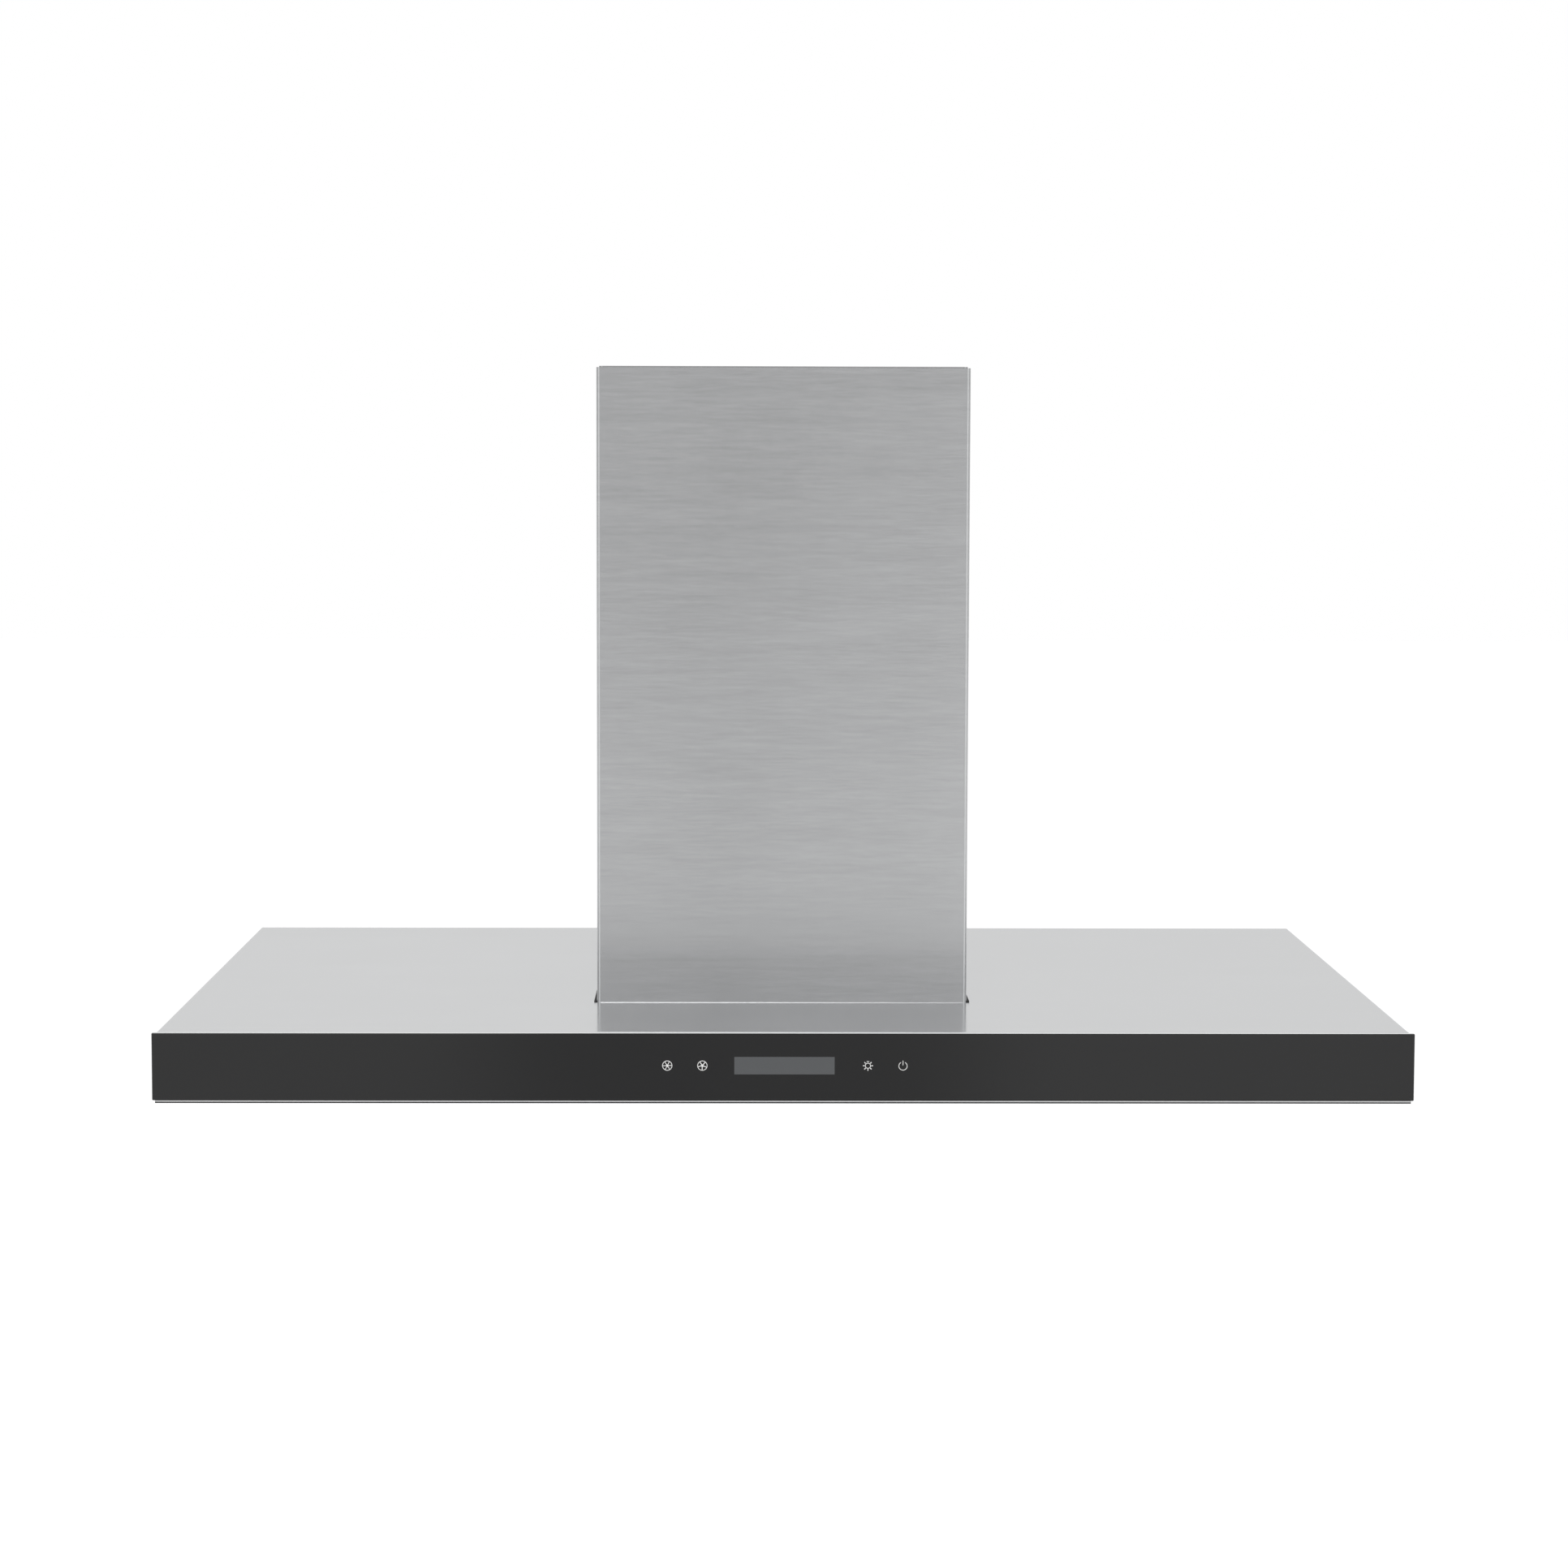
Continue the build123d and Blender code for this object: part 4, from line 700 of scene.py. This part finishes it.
# ---- Lamps --------------------------------------------------------------------------------
# Cast housings with a satin bezel and a reflector cone, frosted lenses pressed into their
# mouths, and a block of light chips at the top of each cone.
lamp_metal = speckled("lamp_metal", (0.70, 0.705, 0.71), 0.30, metallic=1.0, cloud=60.0, grain=1600.0,
                      amount=0.15)
low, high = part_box("lamp_housings")
lens_low, lens_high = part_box("lamp_lenses")
bezel = 0.035
lamp_places = [(x, y, low[2]) for x in (low[0] + bezel, high[0] - bezel)
               for y in (low[1] + bezel, high[1] - bezel)]
top = high[2] - low[2]
housing = turned([(0.0290, top), (0.0310, top - 0.002), (0.0310, 0.0009), (bezel, 0.0009),
                  (bezel, 0.0005), (0.0346, 0.0001), (0.0340, 0.0), (0.0292, 0.0), (0.0286, 0.0002),
                  (0.0281, 0.0006), (0.0281, 0.0034), (0.0262, 0.0034), (0.0240, 0.0070),
                  (0.0200, 0.0120), (0.0150, 0.0165), (0.0105, 0.0188)], sides=64)
finish_piece(set_out(housing, "+z", lamp_places), "lamp_housings_with_reflectors", "hood", "lamp_body",
             [lamp_metal], "lamp_housings")

frosted_lens = speckled("frosted_lens", (0.88, 0.89, 0.87), 0.34, cloud=90.0, grain=1400.0,
                        amount=0.08, bump=0.25)
lens_shader = frosted_lens.node_tree.nodes["Principled BSDF"]
lens_shader.inputs["Transmission Weight"].default_value = 0.65
lens_shader.inputs["IOR"].default_value = 1.49
lens_radius = 0.0279
lens_top = lens_high[2] - low[2]
lens_face = lens_low[2] - low[2]
ring_floor = lens_face + 0.0004
lens = turned([(0.0272, lens_top), (lens_radius, lens_top - 0.0004), (lens_radius, lens_face + 0.0009),
               (0.0270, lens_face + 0.0002), (0.0262, lens_face), (0.0212, lens_face),
               (0.0206, ring_floor), (0.0160, ring_floor), (0.0154, lens_face), (0.0106, lens_face),
               (0.0100, ring_floor), (0.0050, ring_floor), (0.0044, lens_face), (0.0008, lens_face)],
              sides=64)
finish_piece(set_out(lens, "+z", lamp_places), "lamp_lenses_with_rings", "hood", "lamp_lens",
             [frosted_lens], "lamp_lenses")

phosphor = speckled("phosphor", (0.80, 0.62, 0.16), 0.5, cloud=400.0, grain=4000.0, amount=0.2)
chip = 0.0013
chip_pitch = 0.0045
chip_rows = (-chip_pitch, 0.0, chip_pitch)
chips = [block((x - chip, y - chip, 0.0174), (x + chip, y + chip, 0.0187))
         for x in chip_rows for y in chip_rows]
finish_piece(set_out(joined(chips), "+z", lamp_places), "lamp_light_chips", "hood", "lamp_body", [phosphor])


# ---- Grease filters -----------------------------------------------------------------------
# Frames of folded stainless sheet round two layers of interlaced channels, brushed lengthwise.
filter_steel = brushed_steel("filter_steel", (0.66, 0.665, 0.67), 0.30, 0.10, amount=0.25, bump=0.12,
                             flat=(900, 30, 30), wall=(30, 30, 900), end=(30, 30, 900))
for side in ("left", "right"):
    dress(filter_steel, *(f"filter_{piece}_{side}" for piece in ("frame", "baffles", "clip")))

# Each filter's pull is a bent wire bail with a washer at each foot, and domed rivets close the
# frame's mitred corners.
wire = 0.00175              # radius
bend = 0.0032
foot_inset = 0.005
for side in ("left", "right"):
    low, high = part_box(f"filter_handle_{side}")
    frame_low, frame_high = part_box(f"filter_frame_{side}")
    middle_y = (low[1] + high[1]) / 2
    under = frame_low[2]
    near_foot = low[0] + foot_inset
    far_foot = high[0] - foot_inset
    straight = under - low[2] - wire - bend
    fresh()
    bpy.ops.mesh.primitive_circle_add(vertices=16, radius=wire, location=(near_foot, middle_y, under),
                                      fill_type="NGON")
    bpy.ops.object.mode_set(mode="EDIT")
    bpy.ops.mesh.select_all(action="SELECT")
    bpy.ops.mesh.extrude_region_move(TRANSFORM_OT_translate={"value": (0, 0, -straight)})
    bpy.ops.mesh.spin(steps=8, angle=math.pi / 2, axis=(0, 1, 0),
                      center=(near_foot + bend, middle_y, under - straight))
    run = far_foot - near_foot - 2 * bend
    bpy.ops.mesh.extrude_region_move(TRANSFORM_OT_translate={"value": (run, 0, 0)})
    bpy.ops.mesh.spin(steps=8, angle=math.pi / 2, axis=(0, 1, 0),
                      center=(far_foot - bend, middle_y, under - straight))
    bpy.ops.mesh.extrude_region_move(TRANSFORM_OT_translate={"value": (0, 0, straight)})
    bpy.ops.mesh.select_all(action="SELECT")
    bpy.ops.mesh.remove_doubles(threshold=0.00001)
    bpy.ops.mesh.normals_make_consistent(inside=False)
    bpy.ops.object.mode_set(mode="OBJECT")
    bpy.ops.object.transform_apply(location=True, rotation=True, scale=True)
    bpy.ops.object.shade_smooth_by_angle(angle=math.radians(40))
    bail = bpy.context.object
    washer = turned([(0.0048, 0.0), (0.0048, 0.0006), (0.0042, 0.0010), (0.0030, 0.0012)], sides=32)
    washers = set_out(washer, "-z", [(x, middle_y, under) for x in (near_foot, far_foot)])
    finish_piece(joined([bail, washers]), f"filter_pull_{side}", f"{side}_filter", "stainless",
                 [filter_steel], f"filter_handle_{side}")
    rivet = turned([(0.0024, 0.0), (0.0023, 0.0004), (0.0018, 0.0008), (0.0008, 0.0010)], sides=20)
    edge = 0.007
    rear_wall = frame_high[1] - 0.008
    spots = [(x, y, under) for x in (frame_low[0] + edge, frame_high[0] - edge)
             for y in (frame_low[1] + edge, (frame_low[1] + rear_wall) / 2, rear_wall - edge)]
    finish_piece(set_out(rivet, "-z", spots), f"filter_rivets_{side}", f"{side}_filter", "stainless",
                 [screw_steel])


# ---- Blower wheel blades ------------------------------------------------------------------
# Two rows of forward-curved blades rolled from thin galvanised sheet, crimped to the centre
# disc and to the end rings.
low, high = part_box("impeller_blades")
blade_total = 36            # in each row
blade_sheet = 0.0008
blade_reach = (wheel_high[1] - wheel_low[1]) / 2 - 0.0022
curve_across, curve_down = 0.0095, 0.0040   # from a blade's outer edge to the middle of its curve
disc_half = 0.001
blades = []
for row_low, row_high in ((low[0], -disc_half), (disc_half, high[0])):
    for number in range(blade_total):
        fresh()
        bpy.ops.mesh.primitive_plane_add(size=1, location=(0, 0, 0))
        bpy.ops.object.mode_set(mode="EDIT")
        bpy.ops.mesh.select_all(action="SELECT")
        bpy.ops.mesh.merge(type="CENTER")
        bpy.ops.transform.translate(value=(row_low, axle[1], axle[2] + blade_reach))
        bpy.ops.mesh.extrude_region_move(TRANSFORM_OT_translate={"value": (row_high - row_low, 0, 0)})
        bpy.ops.mesh.select_all(action="SELECT")
        bpy.ops.mesh.spin(steps=5, angle=math.radians(-88), axis=(1, 0, 0),
                          center=(0, axle[1] + curve_across, axle[2] + blade_reach - curve_down))
        bpy.ops.mesh.select_all(action="SELECT")
        bpy.ops.transform.rotate(value=number * math.tau / blade_total, orient_axis="X",
                                 center_override=axle)
        bpy.ops.object.mode_set(mode="OBJECT")
        bpy.ops.object.transform_apply(location=True, rotation=True, scale=True)
        blades.append(bpy.context.object)
blade_rows = joined(blades)
sheeting = blade_rows.modifiers.new("sheet", "SOLIDIFY")
sheeting.thickness = blade_sheet
sheeting.offset = 0
bpy.ops.object.modifier_apply(modifier="sheet")
bpy.ops.object.shade_smooth_by_angle(angle=math.radians(40))
finish_piece(blade_rows, "curved_blades", "impeller", "wheel_steel", [wheel_steel], "impeller_blades")


# ---- Damper flap ribs ---------------------------------------------------------------------
# Each flap has moulded ribs on its upper face, which keep the thin half disc flat.
rib_half = 0.0007
rib_start = 0.008
for side, way in (("front", -1), ("rear", 1)):
    low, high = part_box(f"damper_flap_{side}")
    face = (low[2] + high[2]) / 2 + 0.0006
    ribs = []
    for x, reach in ((-0.036, 0.050), (0.0, 0.062), (0.036, 0.050)):
        ends = sorted((way * rib_start, way * reach))
        rib = block((x - rib_half, ends[0], face - 0.0003), (x + rib_half, ends[1], face + 0.0016))
        soften(rib, 0.0004)
        ribs.append(rib)
    finish_piece(joined(ribs), f"damper_ribs_{side}", f"{side}_flap", "grey_plastic", [flap_plastic])
